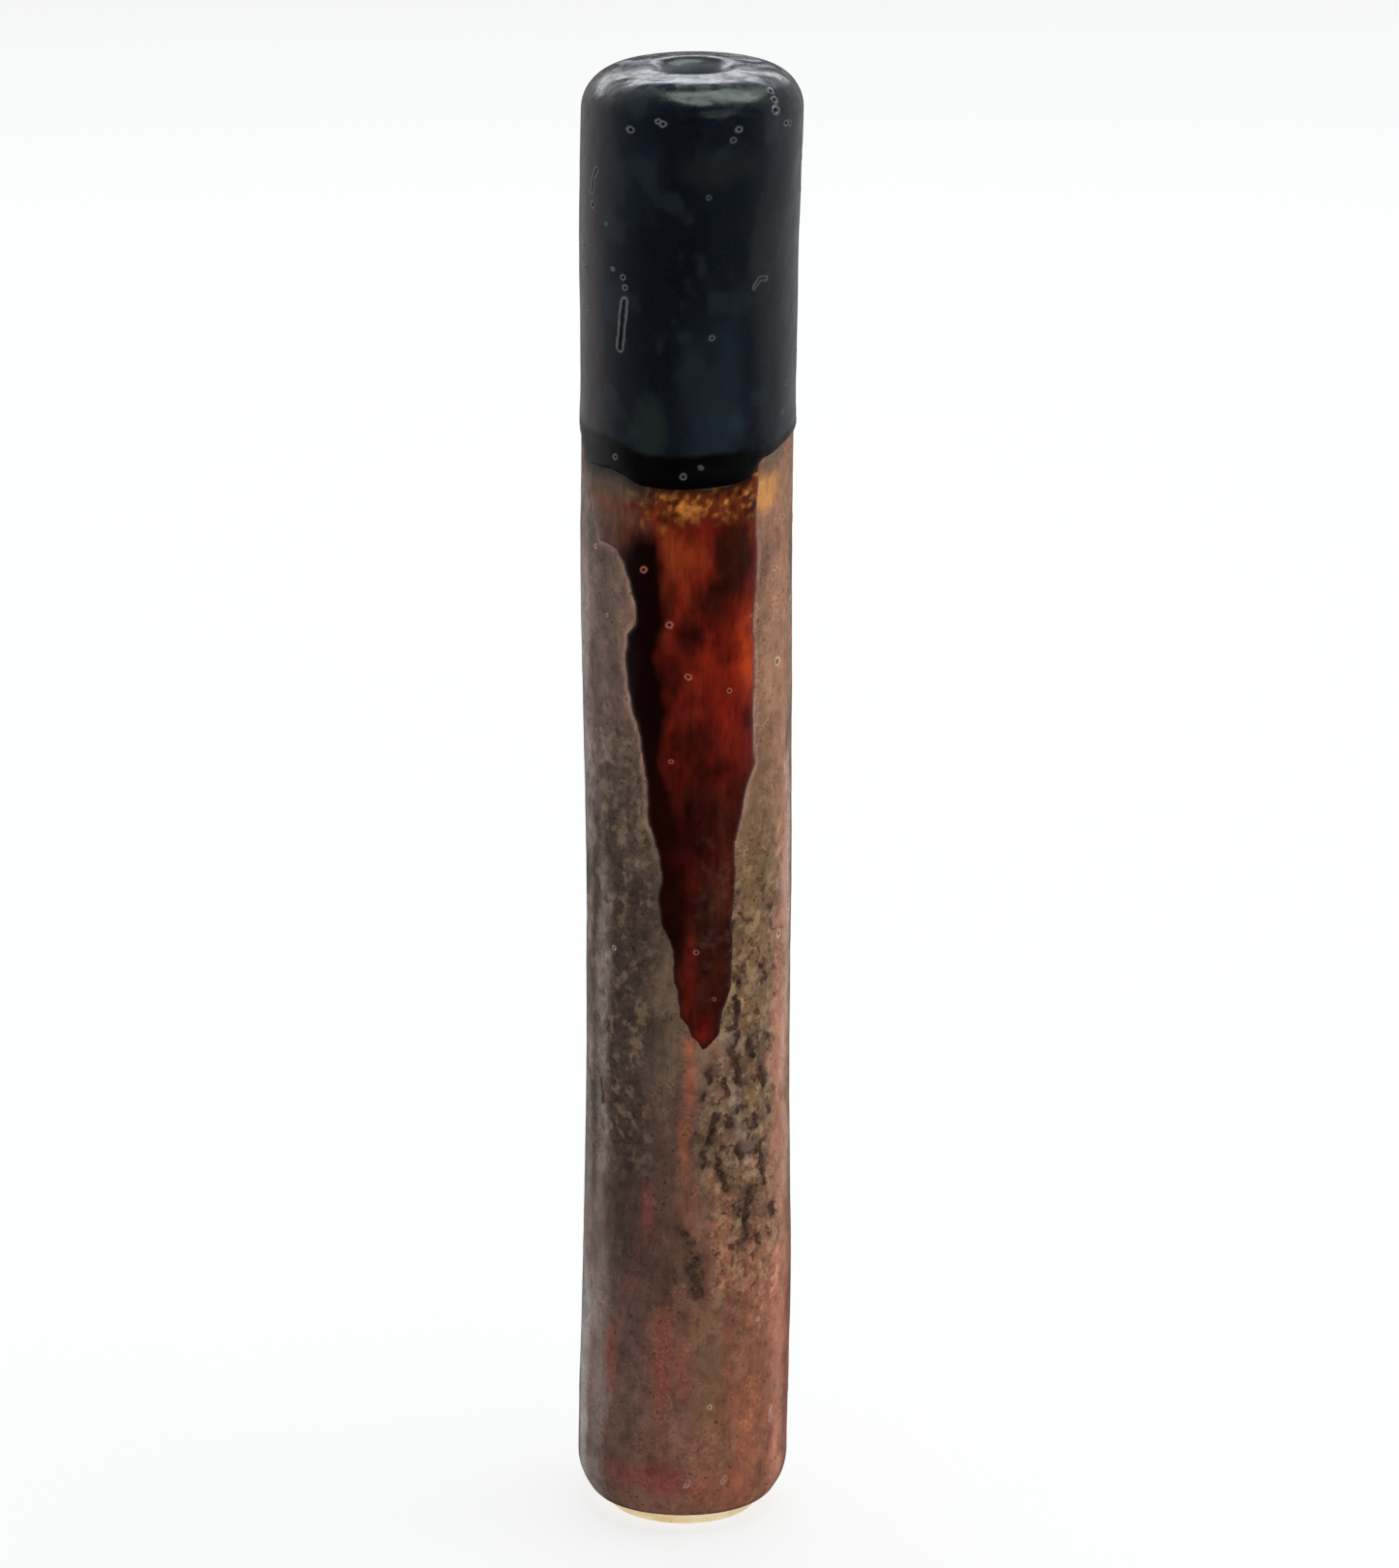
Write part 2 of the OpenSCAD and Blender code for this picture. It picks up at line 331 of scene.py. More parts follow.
BROWN_MARKS = [
    (0.90, 0.16, 0.35, [(59, 200.3)]), (0.80, 0.12, 0.30, [(61, 137.9)]), (0.40, 0.06, 0.20, [(43, 49.5)]),
    (0.45, 0.06, 0.15, [(14, 31)]), (0.35, 0.05, 0.15, [(-48, 211.5)]), (0.40, 0.06, 0.15, [(-58, 226)]),
    (0.45, 0.06, 0.15, [(-46, 136)]), (0.45, 0.06, 0.15, [(57, 221.5)]),
    (0.40, 0.03, 0.00, [(2, 12.2), (3.5, 13.2)]), (0.40, 0.03, 0.00, [(22, 12.4), (24, 13.4)]),
    (0.40, 0.05, 0.00, [(56, 24), (56.5, 27)]),
]


def scattered_marks(count, z0, z1, seed):
    """Small pits on the sides and back, where the front's list has none."""
    rng = np.random.default_rng(seed)
    spots = zip(rng.uniform(78, 282, count), rng.uniform(z0, z1, count), rng.uniform(0.35, 0.7, count))
    return [(float(r), 0.12 * float(r), 0.3 * float(r), [((a + 180) % 360 - 180, z)]) for a, z, r in spots]


BLACK_MARKS += scattered_marks(22, 250, 324, 5)
BROWN_MARKS += scattered_marks(26, 12, 236, 6)


def curve_through(pairs, x, spread):
    """The second numbers of pairs at x on their first numbers, rounded off over spread."""
    a, b = zip(*sorted(pairs))
    samples = np.arange(a[0] - 4 * spread, a[-1] + 4 * spread, spread / 4)
    raw = np.interp(samples, a, b)
    window = np.hanning(11)
    return np.interp(x, samples, np.convolve(np.pad(raw, 5, "edge"), window / window.sum(), "valid"))


def dip_edge_z(az):
    """Height of the black glaze's lower edge."""
    deg = np.degrees(az)
    turned = (deg + 180) % 360 - 180
    return DIP_Z + curve_through(DIP_EDGE, turned, 2.0) + 0.22 * fbm(az, 0 * az, 5, 41, 1, 2)


def segment_distance(u, z, u0, z0, u1, z1):
    """Distance from points (u, z) to a straight piece of line."""
    du, dz = u1 - u0, z1 - z0
    t = np.clip(((u - u0) * du + (z - z0) * dz) / max(du * du + dz * dz, 1e-9), 0, 1)
    return np.hypot(u - u0 - t * du, z - z0 - t * dz)


def run_depth(az, z):
    """How far inside the amber run's outline a place is, in mm, negative outside it."""
    rough = 0.34 * fbm(az, z, 3, 51, 1.3, 3) * (1 + 0.6 * ease((150 - z) / 30))
    az, z = az + rough / CLAY_TOP_R, z + rough
    r = CLAY_TOP_R - 0.5
    u = az * r
    left = [(math.radians(a) * r, h) for h, a in RUN_LEFT]
    right = [(math.radians(a) * r, h) for h, a in RUN_RIGHT]
    corners = left + right[::-1]
    inside = np.zeros(u.shape, bool)
    nearest = np.full(u.shape, 1e9)
    for (u0, z0), (u1, z1) in zip(corners, corners[1:] + corners[:1]):
        nearest = np.minimum(nearest, segment_distance(u, z, u0, z0, u1, z1))
        crosses = (z0 > z) != (z1 > z)
        step = z1 - z0 if z1 != z0 else 1e-9
        inside ^= crosses & (u < (u1 - u0) * (z - z0) / step + u0)
    return np.where(inside, nearest, -nearest)


# ---- meshes


def ring_solid(name, rows, poles=False):
    """A closed solid from rings of points that run round the bottle. The last ring joins the first, or with
    poles the first and last rings close on the axis."""
    rows = np.asarray(rows)
    n, m = rows.shape[:2]
    verts = rows.reshape(-1, 3)
    i, j = np.meshgrid(np.arange(n - 1 if poles else n), np.arange(m), indexing="ij")
    a = i * m + j
    b = i * m + (j + 1) % m
    c = (i + 1) % n * m + (j + 1) % m
    d = (i + 1) % n * m + j
    faces = np.stack([a, b, c, d], -1).reshape(-1, 4).tolist()
    if poles:
        verts = np.concatenate([verts, rows[0].mean(0)[None], rows[-1].mean(0)[None]])
        top = (n - 1) * m
        faces += [[n * m, (k + 1) % m, k] for k in range(m)]
        faces += [[n * m + 1, top + k, top + (k + 1) % m] for k in range(m)]
    return make_object(name, verts, faces)


def make_object(name, verts, faces):
    """A mesh from points in mm, with its faces turned outwards."""
    mesh = bpy.data.meshes.new(name)
    mesh.from_pydata((np.asarray(verts) * MM).tolist(), [], faces)
    bm = bmesh.new()
    bm.from_mesh(mesh)
    bmesh.ops.recalc_face_normals(bm, faces=bm.faces)
    bm.to_mesh(mesh)
    bm.free()
    obj = bpy.data.objects.new(name, mesh)
    bpy.context.scene.collection.objects.link(obj)
    return obj


def coords(obj):
    """The mesh's points in mm."""
    flat = np.empty(len(obj.data.vertices) * 3, np.float32)
    obj.data.vertices.foreach_get("co", flat)
    return flat.reshape(-1, 3).astype(float) / MM


def set_coords(obj, points):
    """Moves the mesh's points to these, in mm."""
    obj.data.vertices.foreach_set("co", (points * MM).astype(np.float32).ravel())
    obj.data.update()


def round_place(p):
    """Azimuth, height and distance from the axis of points."""
    x = p[:, 0] - bend(p[:, 2])
    return np.arctan2(x, -p[:, 1]), p[:, 2], np.hypot(x, p[:, 1])


def around(z):
    """Radius used to turn azimuths into mm."""
    return np.interp(z, [0, 300, TOP_Z - 6, TOP_Z], [CLAY_TOP_R, CLAY_TOP_R, 19, 12])


def mark_distance(az, z, spots):
    """Distance in mm from a mark's middle line."""
    if len(spots) == 1:
        spots = spots * 2
    best = np.full(az.shape, 1e9)
    for (a0, z0), (a1, z1) in zip(spots, spots[1:]):
        r = float(around((z0 + z1) / 2))
        middle = math.radians((a0 + a1) / 2)
        turn = (az - middle + math.pi) % (2 * math.pi) - math.pi
        half = math.radians((a1 - a0) / 2)
        best = np.minimum(best, segment_distance(turn * r, z, -half * r, z0, half * r, z1))
    near = best < 4
    best[near] += 0.16 * value_noise(az[near], z[near], 0.9, 99)
    return best


def outside_only(z):
    """Least distance from the axis of the outer face, which is where marks are made."""
    return np.interp(z, [0, 8, 300, TOP_Z - 4, TOP_Z], [12, 18, 19, 12, 8])


def refine_marks(obj, marks):
    """Makes the mesh finer round each mark, so that a small pit has a true shape."""
    bm = bmesh.new()
    bm.from_mesh(obj.data)
    centres = np.array([f.calc_center_median()[:] for f in bm.faces]) / MM
    az, z, r = round_place(centres)
    near = np.zeros(len(centres), bool)
    for radius, _, _, spots in marks:
        near |= mark_distance(az, z, spots) < radius * 2 + 0.4
    near &= r > outside_only(z)
    bm.faces.ensure_lookup_table()
    edges = {e for i in np.nonzero(near)[0] for e in bm.faces[i].edges}
    bmesh.ops.subdivide_edges(bm, edges=list(edges), cuts=3, use_grid_fill=True)
    bm.to_mesh(obj.data)
    bm.free()


def shape_marks(obj, marks):
    """Raises each mark's rim and sinks its pit. Returns how much each point is on a rim and in a pit."""
    p = coords(obj)
    az, z, r = round_place(p)
    outer = r > outside_only(z)
    rim, pit, lift = np.zeros(len(p)), np.zeros(len(p)), np.zeros(len(p))
    for radius, rim_h, depth, spots in marks:
        d = mark_distance(az, z, spots)
        on_rim = np.exp(-(((d - radius) / (0.13 + 0.13 * radius)) ** 2))
        in_pit = ease(1 - d / (0.85 * radius)) * (1 if depth else 0)
        lift += rim_h * on_rim - depth * in_pit
        rim, pit = np.maximum(rim, on_rim * min(1, rim_h / 0.09)), np.maximum(pit, in_pit)
    normals = np.empty(len(p) * 3, np.float32)
    obj.data.vertices.foreach_get("normal", normals)
    set_coords(obj, p + normals.reshape(-1, 3) * (lift * outer)[:, None])
    return rim * outer, pit * outer


def patch_solid(name, az_range, z_range, step, height, floor_off):
    """A closed solid lying on the bottle's side where height(az, z) is above floor_off, off the clay."""
    az = np.arange(az_range[0], az_range[1], step / CLAY_TOP_R)
    z = np.arange(z_range[0], z_range[1], step)
    grid_z, grid_az = np.meshgrid(z, az, indexing="ij")
    off = height(grid_az, grid_z)
    s = np.interp(grid_z, side_heights, side_distances)
    top = OUTSIDE.place(s, grid_az, off)
    low = OUTSIDE.place(s, grid_az, np.full(off.shape, floor_off - 0.1))
    rows, cols = off.shape
    index = np.arange(rows * cols).reshape(rows, cols)
    keep = off > floor_off
    cell = keep[:-1, :-1] & keep[1:, :-1] & keep[:-1, 1:] & keep[1:, 1:]
    quads = np.stack([index[:-1, :-1], index[:-1, 1:], index[1:, 1:], index[1:, :-1]], -1)[cell]
    shift = rows * cols
    sides = {}
    for q in quads.tolist():
        for a, b in zip(q, q[1:] + q[:1]):
            if (b, a) in sides:
                del sides[(b, a)]
            else:
                sides[(a, b)] = True
    faces = quads.tolist() + (quads[:, ::-1] + shift).tolist()
    faces += [[b, a, a + shift, b + shift] for a, b in sides]
    verts = np.concatenate([top.reshape(-1, 3), low.reshape(-1, 3)])
    used = np.unique(np.array([i for f in faces for i in f]))
    new = np.full(len(verts), -1)
    new[used] = np.arange(len(used))
    return make_object(name, verts[used], [[int(new[i]) for i in f] for f in faces])


side_part = (OUTSIDE.z > HEEL_R) & (OUTSIDE.z < SHOULDER_Z) & (OUTSIDE.r > 15)
side_heights, side_distances = OUTSIDE.z[side_part], OUTSIDE.s[side_part]


def turns(count):
    """count azimuths round the bottle."""
    return np.linspace(-math.pi, math.pi, count, endpoint=False)


def rounded(t):
    """0 to 1 along a quarter of a circle, for a thick edge."""
    return np.sqrt(np.clip(1 - (1 - t).clip(0, 1) ** 2, 0, 1))


def close_coat(name, az, start, end, outer, back_rows):
    """A coat's closed solid: its outer face, and an inner face along the clay from start to end."""
    back = np.linspace(1, 0, back_rows)[:, None]
    s = start[None, :] * (1 - back) + end * back
    inner = OUTSIDE.place(s, np.broadcast_to(az, s.shape), np.full(s.shape, -TUCK))
    return ring_solid(name, np.concatenate([outer, inner]))


def brown_texture(az, z):
    """The matte glaze's own relief, in mm: soft crystals, and rougher ones where it is crusty."""
    rough = crusty(az, z)
    return 0.03 * fbm(az, z, 2.4, 61, 1.6, 2) + rough * 0.10 * np.maximum(fbm(az, z, 2.2, 62, 1.2, 2), -0.2)


def crusty(az, z):
    """0 to 1: how crusty the brown glaze is, right of the run's tip and, more weakly, at its left."""
    deg = np.degrees(az) + 6 * fbm(az, z, 9, 63, 2, 2)
    across = ease((deg - 8) / 14) * ease((66 - deg) / 12)
    up = ease((z - 46) / 16) * ease((176 - z) / 30)
    left = ease((deg + 84) / 14) * ease((-14 - deg) / 14) * ease((z - 76) / 20) * ease((206 - z) / 30)
    return np.maximum(across * up, 0.6 * left)


def make_brown():
    """The matte coat, from its rolled edge above the foot to under the black glaze."""
    az = turns(BROWN_GRID[0])
    s0 = OUTSIDE.at_height(GLAZE_STOP_Z + BARE_RISE)
    s1 = OUTSIDE.at_height(DIP_Z + 13)
    steps = np.linspace(0, 1, BROWN_GRID[1])
    s = (s0 + 0.35 * (fbm(az, 0 * az, 12, 71, 1, 2)))[None, :] * (1 - steps)[:, None] + s1 * steps[:, None]
    from_edge = s - s[0]
    z = np.interp(s, OUTSIDE.s, OUTSIDE.z)
    grid_az = np.broadcast_to(az, s.shape)
    roll = rounded(from_edge / 0.9)
    bead = 0.12 * np.exp(-(((from_edge - 1.2) / 0.9) ** 2))
    off = 0.02 + BROWN_T * roll + bead + brown_texture(grid_az, z) * ease(from_edge / 3)
    outer = OUTSIDE.place(s, grid_az, off)
    return close_coat("brown_glaze_coat", az, s[0], s1, outer, 14)


def black_thickness(az, from_edge, z):
    """The dip's thickness: a rounded roll along its edge, thickest where it pools at the front."""
    front = ease((np.cos(az - 0.1) - 0.55) / 0.3)
    reach = mix(1.0, 1.5, front)
    roll = rounded(from_edge / reach)
    pool = (0.10 + 0.22 * front) * np.exp(-(((from_edge - 2.6) / 2.6) ** 2))
    skin = 0.045 * fbm(az, z, 9, 81, 1.6, 2) + 0.012 * fbm(az, z, 1.8, 82, 1, 1)
    return BROWN_T * 0.3 + (BLACK_T - BROWN_T * 0.3) * roll + pool * roll + skin * ease(from_edge / 4)


def make_black():
    """The dipped coat, from its wavy edge up, over the lip and down the mouth."""
    az = turns(BLACK_GRID[0])
    edge = np.interp(dip_edge_z(az), side_heights, side_distances)
    s1 = OUTSIDE.s[-1]
    steps = np.concatenate([np.linspace(0, 0.03, 9)[:-1], np.linspace(0.03, 1, BLACK_GRID[1])])
    s = edge[None, :] * (1 - steps)[:, None] + s1 * steps[:, None]
    grid_az = np.broadcast_to(az, s.shape)
    z = np.interp(s, OUTSIDE.s, OUTSIDE.z)
    off = black_thickness(grid_az, s - edge[None, :], z)
    off = mix(off, BLACK_T, ease((s - OUTSIDE.at_height(CLAY_TOP_Z - 0.01)) / 3))
    outer = OUTSIDE.place(s, grid_az, off)
    return close_coat("black_glaze_coat", az, edge, s1, outer, 60)


def run_height(az, z):
    """Height of the amber run off the clay: a thick lens with a steep rounded edge."""
    d = run_depth(az, z)
    body = rounded(d / 1.1)
    full = 0.32 + 0.06 * ease((z - 118) / 60) + 0.14 * np.exp(-(((z - 122) / 9) ** 2))
    swell = 0.05 * fbm(az, z, 7, 91, 3, 2) + 0.10 * ease(d / 5)
    inside = BROWN_T + full * body + swell * ease(d / 1.5) * ease((240 - z) / 12)
    under_dip = ease((z - dip_edge_z(az) + 0.3) / 0.8)
    return np.where(d > 0, mix(inside, np.minimum(inside, BROWN_T + 0.06), under_dip), BROWN_T + 0.6 * d)


def make_run():
    az_range = (math.radians(-72), math.radians(52))
    z_range = (112, DIP_Z + 6)
    return patch_solid("amber_run_flow", az_range, z_range, RUN_STEP, run_height, BROWN_T - 0.25)


def crust_depth(az, z):
    """Distance inside the nearest crust streak, in mm, negative outside."""
    r = CLAY_TOP_R - 0.8
    warped_az = az + 0.9 / r * fbm(az, z, 1.7, 101, 1, 3)
    warped_z = z + 1.0 * fbm(az, z, 1.7, 102, 1, 3)
    best = np.full(az.shape, -1e9)
    for a0, z0, a1, z1, w in CRUST_STREAKS:
        d = segment_distance(warped_az * r, warped_z, math.radians(a0) * r, z0, math.radians(a1) * r, z1)
        best = np.maximum(best, w - d)
    return best


def crust_height(az, z):
    """Height of the crust off the clay: steep-sided and lumpy."""
    d = crust_depth(az, z)
    lumps = 0.10 * fbm(az, z, 1.0, 103, 1, 2)
    return np.where(d > 0, BROWN_T + 0.05 + 0.16 * ease(d / 0.5) + lumps, BROWN_T + 0.05 + 0.5 * d)


def make_crust():
    azs = [a for s in CRUST_STREAKS for a in (s[0], s[2])]
    zs = [z for s in CRUST_STREAKS for z in (s[1], s[3])]
    az_range = (math.radians(min(azs) - 6), math.radians(max(azs) + 6))
    z_range = (min(zs) - 3, max(zs) + 3)
    return patch_solid("iron_crust_streaks", az_range, z_range, CRUST_STEP, crust_height, BROWN_T - 0.15)


def revolve(name, path_rows, poles=False):
    """A closed solid from (path, distances, off) stretches, in order round its section."""
    az = turns(WALL_COUNT)
    rows = []
    for path, distances, off in path_rows:
        for s in distances:
            rows.append(path.place(np.full(WALL_COUNT, s), az, np.full(WALL_COUNT, off)))
    return ring_solid(name, rows, poles)


def make_wall():
    o = [OUTSIDE.at_height(BASE_JOINT_Z), OUTSIDE.at_height(SHOULDER_JOINT_Z)]
    h = [HOLLOW.at_height(BASE_JOINT_Z), HOLLOW.at_height(SHOULDER_JOINT_Z)]
    out, back = np.linspace(o[0], o[1], 110), np.linspace(h[1], h[0], 110)
    return revolve("clay_wall_thrown", [(OUTSIDE, out, -TUCK), (HOLLOW, back, 0)])


def make_shoulder():
    o = np.linspace(OUTSIDE.at_height(SHOULDER_JOINT_Z), OUTSIDE.s[-1], 90)
    h = np.linspace(HOLLOW.s[-1], HOLLOW.at_height(SHOULDER_JOINT_Z), 40)
    return revolve("clay_shoulder_closed_in", [(OUTSIDE, o, -TUCK), (HOLLOW, h, 0)])


def make_liner():
    up = np.concatenate([np.linspace(0.5, 24, 18), np.linspace(26, HOLLOW.s[-1], 130)])
    return revolve("liner_glaze_inside", [(HOLLOW, up, 0), (HOLLOW, up[::-1], LINER_T)], poles=True)


def make_base():
    """The floor and foot. Underneath it has the spiral left by the wire it was cut off with."""
    az = turns(BASE_COUNT)
    rows = []
    for r in np.concatenate([np.linspace(0.4, FOOT_R - 1.2, 84), [FOOT_R - 0.8, FOOT_R - FOOT_BEVEL]]):
        x, y = r * np.sin(az), -r * np.cos(az)
        swirl = np.hypot(x - 6, y + 3)
        groove = 0.11 * (0.5 + 0.5 * np.sin(2 * math.pi * swirl / 1.9 + np.arctan2(y + 3, x - 6)))
        rows.append(np.stack([x, y, groove * ease((FOOT_R - 1.4 - r) / 1.5) * ease(r / 2)], -1))
    o = np.concatenate([np.linspace(0.1, 12, 44), np.linspace(12.5, OUTSIDE.at_height(BASE_JOINT_Z), 8)])
    for s in o:
        off = np.full(BASE_COUNT, -0.01) + 0.03 * fbm(az, 0 * az + s, 1.5, 111, 1, 2) * ease(s / 1.5)
        off = np.minimum(off, 0.02) if s < OUTSIDE.at_height(GLAZE_STOP_Z + 1.5) else off * 0 - TUCK
        rows.append(OUTSIDE.place(np.full(BASE_COUNT, s), az, off))
    for s in np.linspace(HOLLOW.at_height(BASE_JOINT_Z), 0.5, 24):
        rows.append(HOLLOW.place(np.full(BASE_COUNT, s), az, np.zeros(BASE_COUNT)))
    return ring_solid("clay_base_cut_off", rows, poles=True)


# ---- painting


def rgb(r, g, b):
    """A colour as seen, 0 to 255, as linear numbers."""
    c = np.array([r, g, b]) / 255
    return np.where(c <= 0.04045, c / 12.92, ((c + 0.055) / 1.055) ** 2.4)


def blend(colours, colour, amount):
    """Colours moved towards another by amount."""
    return colours + (colour - colours) * np.clip(amount, 0, 1)[:, None]


def tint(colours, gains, amount):
    """Colours times gains, by amount."""
    return blend(colours, colours * np.array(gains), amount)


def patch(az, z, middle, height, half_width, half_height, seed):
    """0 to 1 over a soft ragged patch. middle and half_width are azimuths in degrees."""
    du = ((np.degrees(az) - middle + 180) % 360 - 180) / half_width
    dz = (z - height) / half_height
    edge = 0.45 * fbm(az, z, 5, seed, 2.0, 3)
    return ease(1.25 - np.hypot(du, dz) + edge)


def paint_patches(c, az, z, patches, seed):
    """Colours with a list of patches painted over them, in its order."""
    for i, (middle, height, half_width, half_height, colour, strength) in enumerate(patches):
        cover = patch(az, z, middle, height, half_width, half_height, seed + i)
        c = blend(c, rgb(*colour), cover * strength)
    return c


# Patches of the brown glaze, as
# (azimuth, height, half-width in degrees, half-height in mm, colour, strength)
BROWN_PATCHES = [
    (-40, 130, 26, 60, (60, 46, 38), 0.85),  # dark, to the left of the run
    (-32, 84, 20, 34, (70, 50, 42), 0.8),  # its lower end
    (-54, 214, 16, 26, (100, 80, 74), 0.5),  # grey bloom above it
    # The grey band at the left and the paler band beside the dark are partly the glaze's own grey and partly
    # painted sheen, lighter towards that edge
    (-77, 70, 11, 110, (140, 126, 117), 0.6),  # grey band at the left
    (-75, 202, 12, 60, (156, 140, 136), 0.82),  # its upper part, paler
    (-73, 38, 14, 34, (158, 150, 145), 0.85),  # its lowest part, paler too
    (-57, 196, 8, 30, (116, 94, 87), 0.55),  # paler band beside the dark, upper part
    (-55, 118, 8, 60, (128, 115, 106), 0.8),  # its lower part
    (36, 138, 16, 36, (124, 92, 62), 0.85),  # olive, to the right of the run
    (62, 200, 14, 40, (172, 122, 96), 0.7),  # pink, upper right
    (64, 84, 10, 100, (186, 124, 100), 0.75),  # pink band at the right
    # Painted sheen: the palest colour at the very right edge
    (73, 144, 9, 62, (204, 164, 150), 0.7),  # the palest, at the very edge
    (34, 88, 16, 26, (118, 86, 62), 0.8),  # olive under the first
    (-12, 74, 18, 30, (84, 52, 41), 0.8),  # dark red-brown, in the middle
    (1, 106, 5.0, 13, (158, 82, 56), 0.9),  # orange streak under the run's tip
    (-2, 92, 5, 10, (146, 80, 52), 0.8),  # its bend
    (2, 80, 5, 10, (132, 78, 56), 0.7),  # and its end
    (15, 110, 4, 7, (92, 52, 36), 0.7),  # brown beside it
    (-22, 77, 3.4, 8, (122, 60, 56), 0.75),  # crimson streak
    (26, 116, 5, 6, (130, 108, 104), 0.6),  # grey-violet spots in the olive
    (29, 100, 5, 8, (126, 102, 98), 0.6),
    (35, 91, 4, 5, (128, 106, 104), 0.55),
    (16, 84, 5, 6, (140, 86, 60), 0.7),  # orange-brown spots in it
    (21, 94, 4, 5, (124, 86, 60), 0.6),
    (20, 68, 10, 14, (140, 88, 66), 0.8),  # warm patch, right of the middle
    (14, 46, 15, 20, (112, 82, 58), 0.8),  # olive, low
    (-12, 36, 7, 24, (128, 68, 50), 0.9),  # red streak, low
    (0, 28, 6, 8, (108, 70, 64), 0.6),  # purple-grey, low
    (38, 24, 13, 24, (154, 90, 62), 0.8),  # warm, low right
    (18, 24, 5.5, 10, (156, 100, 62), 0.6),  # ochre spot
    (57, 50, 8, 28, (182, 114, 90), 0.65),  # pink, low right
    (55, 80, 7, 13, (156, 110, 86), 0.55),  # tan, above it
    (-57, 34, 12, 36, (134, 120, 112), 0.7),  # grey, low left
    (-18, 13.5, 32, 4.5, (126, 56, 49), 0.75),  # crimson over the heel
    (18, 11, 24, 5, (138, 76, 56), 0.6),  # and its paler end
    (47, 239.5, 14, 4.5, (204, 140, 80), 0.95),  # gold beside the black edge
    (56, 247, 10, 3.0, (112, 98, 80), 0.8),  # thin grey fringe above it
    (-66, 243, 16, 5, (92, 80, 66), 0.9),  # dark grey fringe at the left
]


def paint_brown(az, z):
    """The matte glaze's colours: grey to the left, tan to the right, redder towards the foot, with painted
    sheen towards the left and right edges, a painted highlight beside the run and painted shade under the
    dip's edge.
    """
    side = 0.5 + 0.5 * np.sin(az) + 0.12 * fbm(az, z, 12, 121, 2, 2)
    streak = 0.5 + 0.5 * fbm(az, z, 4.5, 122, 6, 3)
    mottle = 0.5 + 0.5 * fbm(az, z, 4, 123, 1.3, 3)
    warp = z + 9 * fbm(az, z, 22, 124, 1, 2)
    up = ease((warp - 165) / 50)[:, None]
    low = ease((95 - warp) / 55)[:, None]
    side = np.clip(side, 0, 1)[:, None]
    middle = mix(rgb(82, 67, 58), rgb(134, 102, 76), side)
    upper = mix(rgb(100, 82, 75), rgb(148, 107, 84), side)
    lower = mix(rgb(88, 65, 57), rgb(144, 92, 68), side)
    c = mix(mix(middle, upper, up), lower, low)
    c = tint(c, [1.35, 1.25, 1.22], ease((streak - 0.55) / 0.3) * 0.6)
    c = tint(c, [0.66, 0.62, 0.6], ease((0.42 - streak) / 0.3) * 0.6)
    red = ease((fbm(az, z, 6, 125, 5, 2) - 0.15) / 0.5) * ease((110 - z) / 60)
    c = blend(c, rgb(132, 66, 52), red * 0.6)
    c = paint_patches(c, az, z, BROWN_PATCHES, 130)
    c = tint(c, [1.45, 1.42, 1.42], ease((mottle - 0.62) / 0.22) * 0.45)
    c = tint(c, [0.6, 0.58, 0.56], ease((0.40 - mottle) / 0.22) * 0.5)
    near_crust = ease(1 + crust_depth(az, z) / 1.6) * ease((z - 52) / 6)
    c = tint(c, [0.5, 0.42, 0.38], near_crust * 0.7)
    # Painted highlight: a pale pinkish line along the amber run's raised edge
    long_edge = ease((z - 150) / 20) * ease((232 - z) / 5)
    run_rim_highlight = np.exp(-(((run_depth(az, z) + 0.55) / 0.4) ** 2)) * long_edge
    c = blend(c, rgb(190, 140, 128), run_rim_highlight * 0.4)
    # Painted shade: darker just under the black dip's thick edge, at the left
    at_left = ease((-18 - np.degrees(az)) / 10) * ease((az + 1.6) / 0.3)
    under_dip = ease(1 - (dip_edge_z(az) - z) / 3.2) * at_left
    c = blend(c, rgb(44, 36, 32), under_dip * 0.75)
    heel = ease((GLAZE_STOP_Z + 2.6 - z) / 2.2)
    return blend(c, rgb(58, 28, 22), heel * 0.8)


# Patches of the amber run, in the same form
AMBER_PATCHES = [
    (-46, 232, 27, 9, (88, 60, 48), 1.0),  # dull lobe at the top left
    (-29, 229, 10, 8, (70, 30, 18), 0.9),  # dark red-brown beside it
    (-3, 227, 12, 8, (136, 52, 18), 0.85),  # orange below the gold
    (0, 216, 9, 9, (118, 32, 11), 0.85),  # orange, redder
    (32, 207, 8, 12, (160, 50, 14), 0.9),  # orange, right
    (18, 203, 12, 8, (126, 28, 8), 0.8),  # and towards the middle
    (-11, 219, 6, 11, (96, 28, 12), 0.8),  # and a darker red at its left
    (27, 225, 12, 10, (44, 14, 5), 0.95),  # dark blotch, upper right
    (15, 217, 12, 7, (40, 9, 4), 0.95),  # its tail
    (3, 209, 8, 5, (48, 9, 4), 0.85),  # and the tail's end
    (-6, 200, 7, 6, (44, 7, 4), 0.8),  # dark blotch, left
    (4, 194, 8, 8, (112, 28, 14), 0.75),  # red, middle
    (24, 196, 9, 9, (108, 20, 8), 0.7),  # red, right
    (6, 184, 15, 6, (46, 8, 4), 0.85),  # dark band
    (25, 184, 7, 7, (112, 26, 9), 0.85),  # bright spot under it
    (16, 174, 8, 5, (78, 18, 7), 0.7),  # its tail
    (8, 166, 15, 16, (46, 10, 5), 0.85),  # dark, lower
    (21, 160, 5, 14, (70, 26, 17), 0.7),  # a little lighter
    (12, 146, 9, 12, (58, 28, 18), 0.75),  # cloudy, near the tip
    (0, 131, 6, 11, (98, 22, 7), 0.8),  # orange-red, left of the tip
    (13, 133, 5, 8, (52, 16, 8), 0.8),  # dark, right of the tip
    (8, 120, 9, 5, (96, 16, 7), 0.9),  # red tip
]


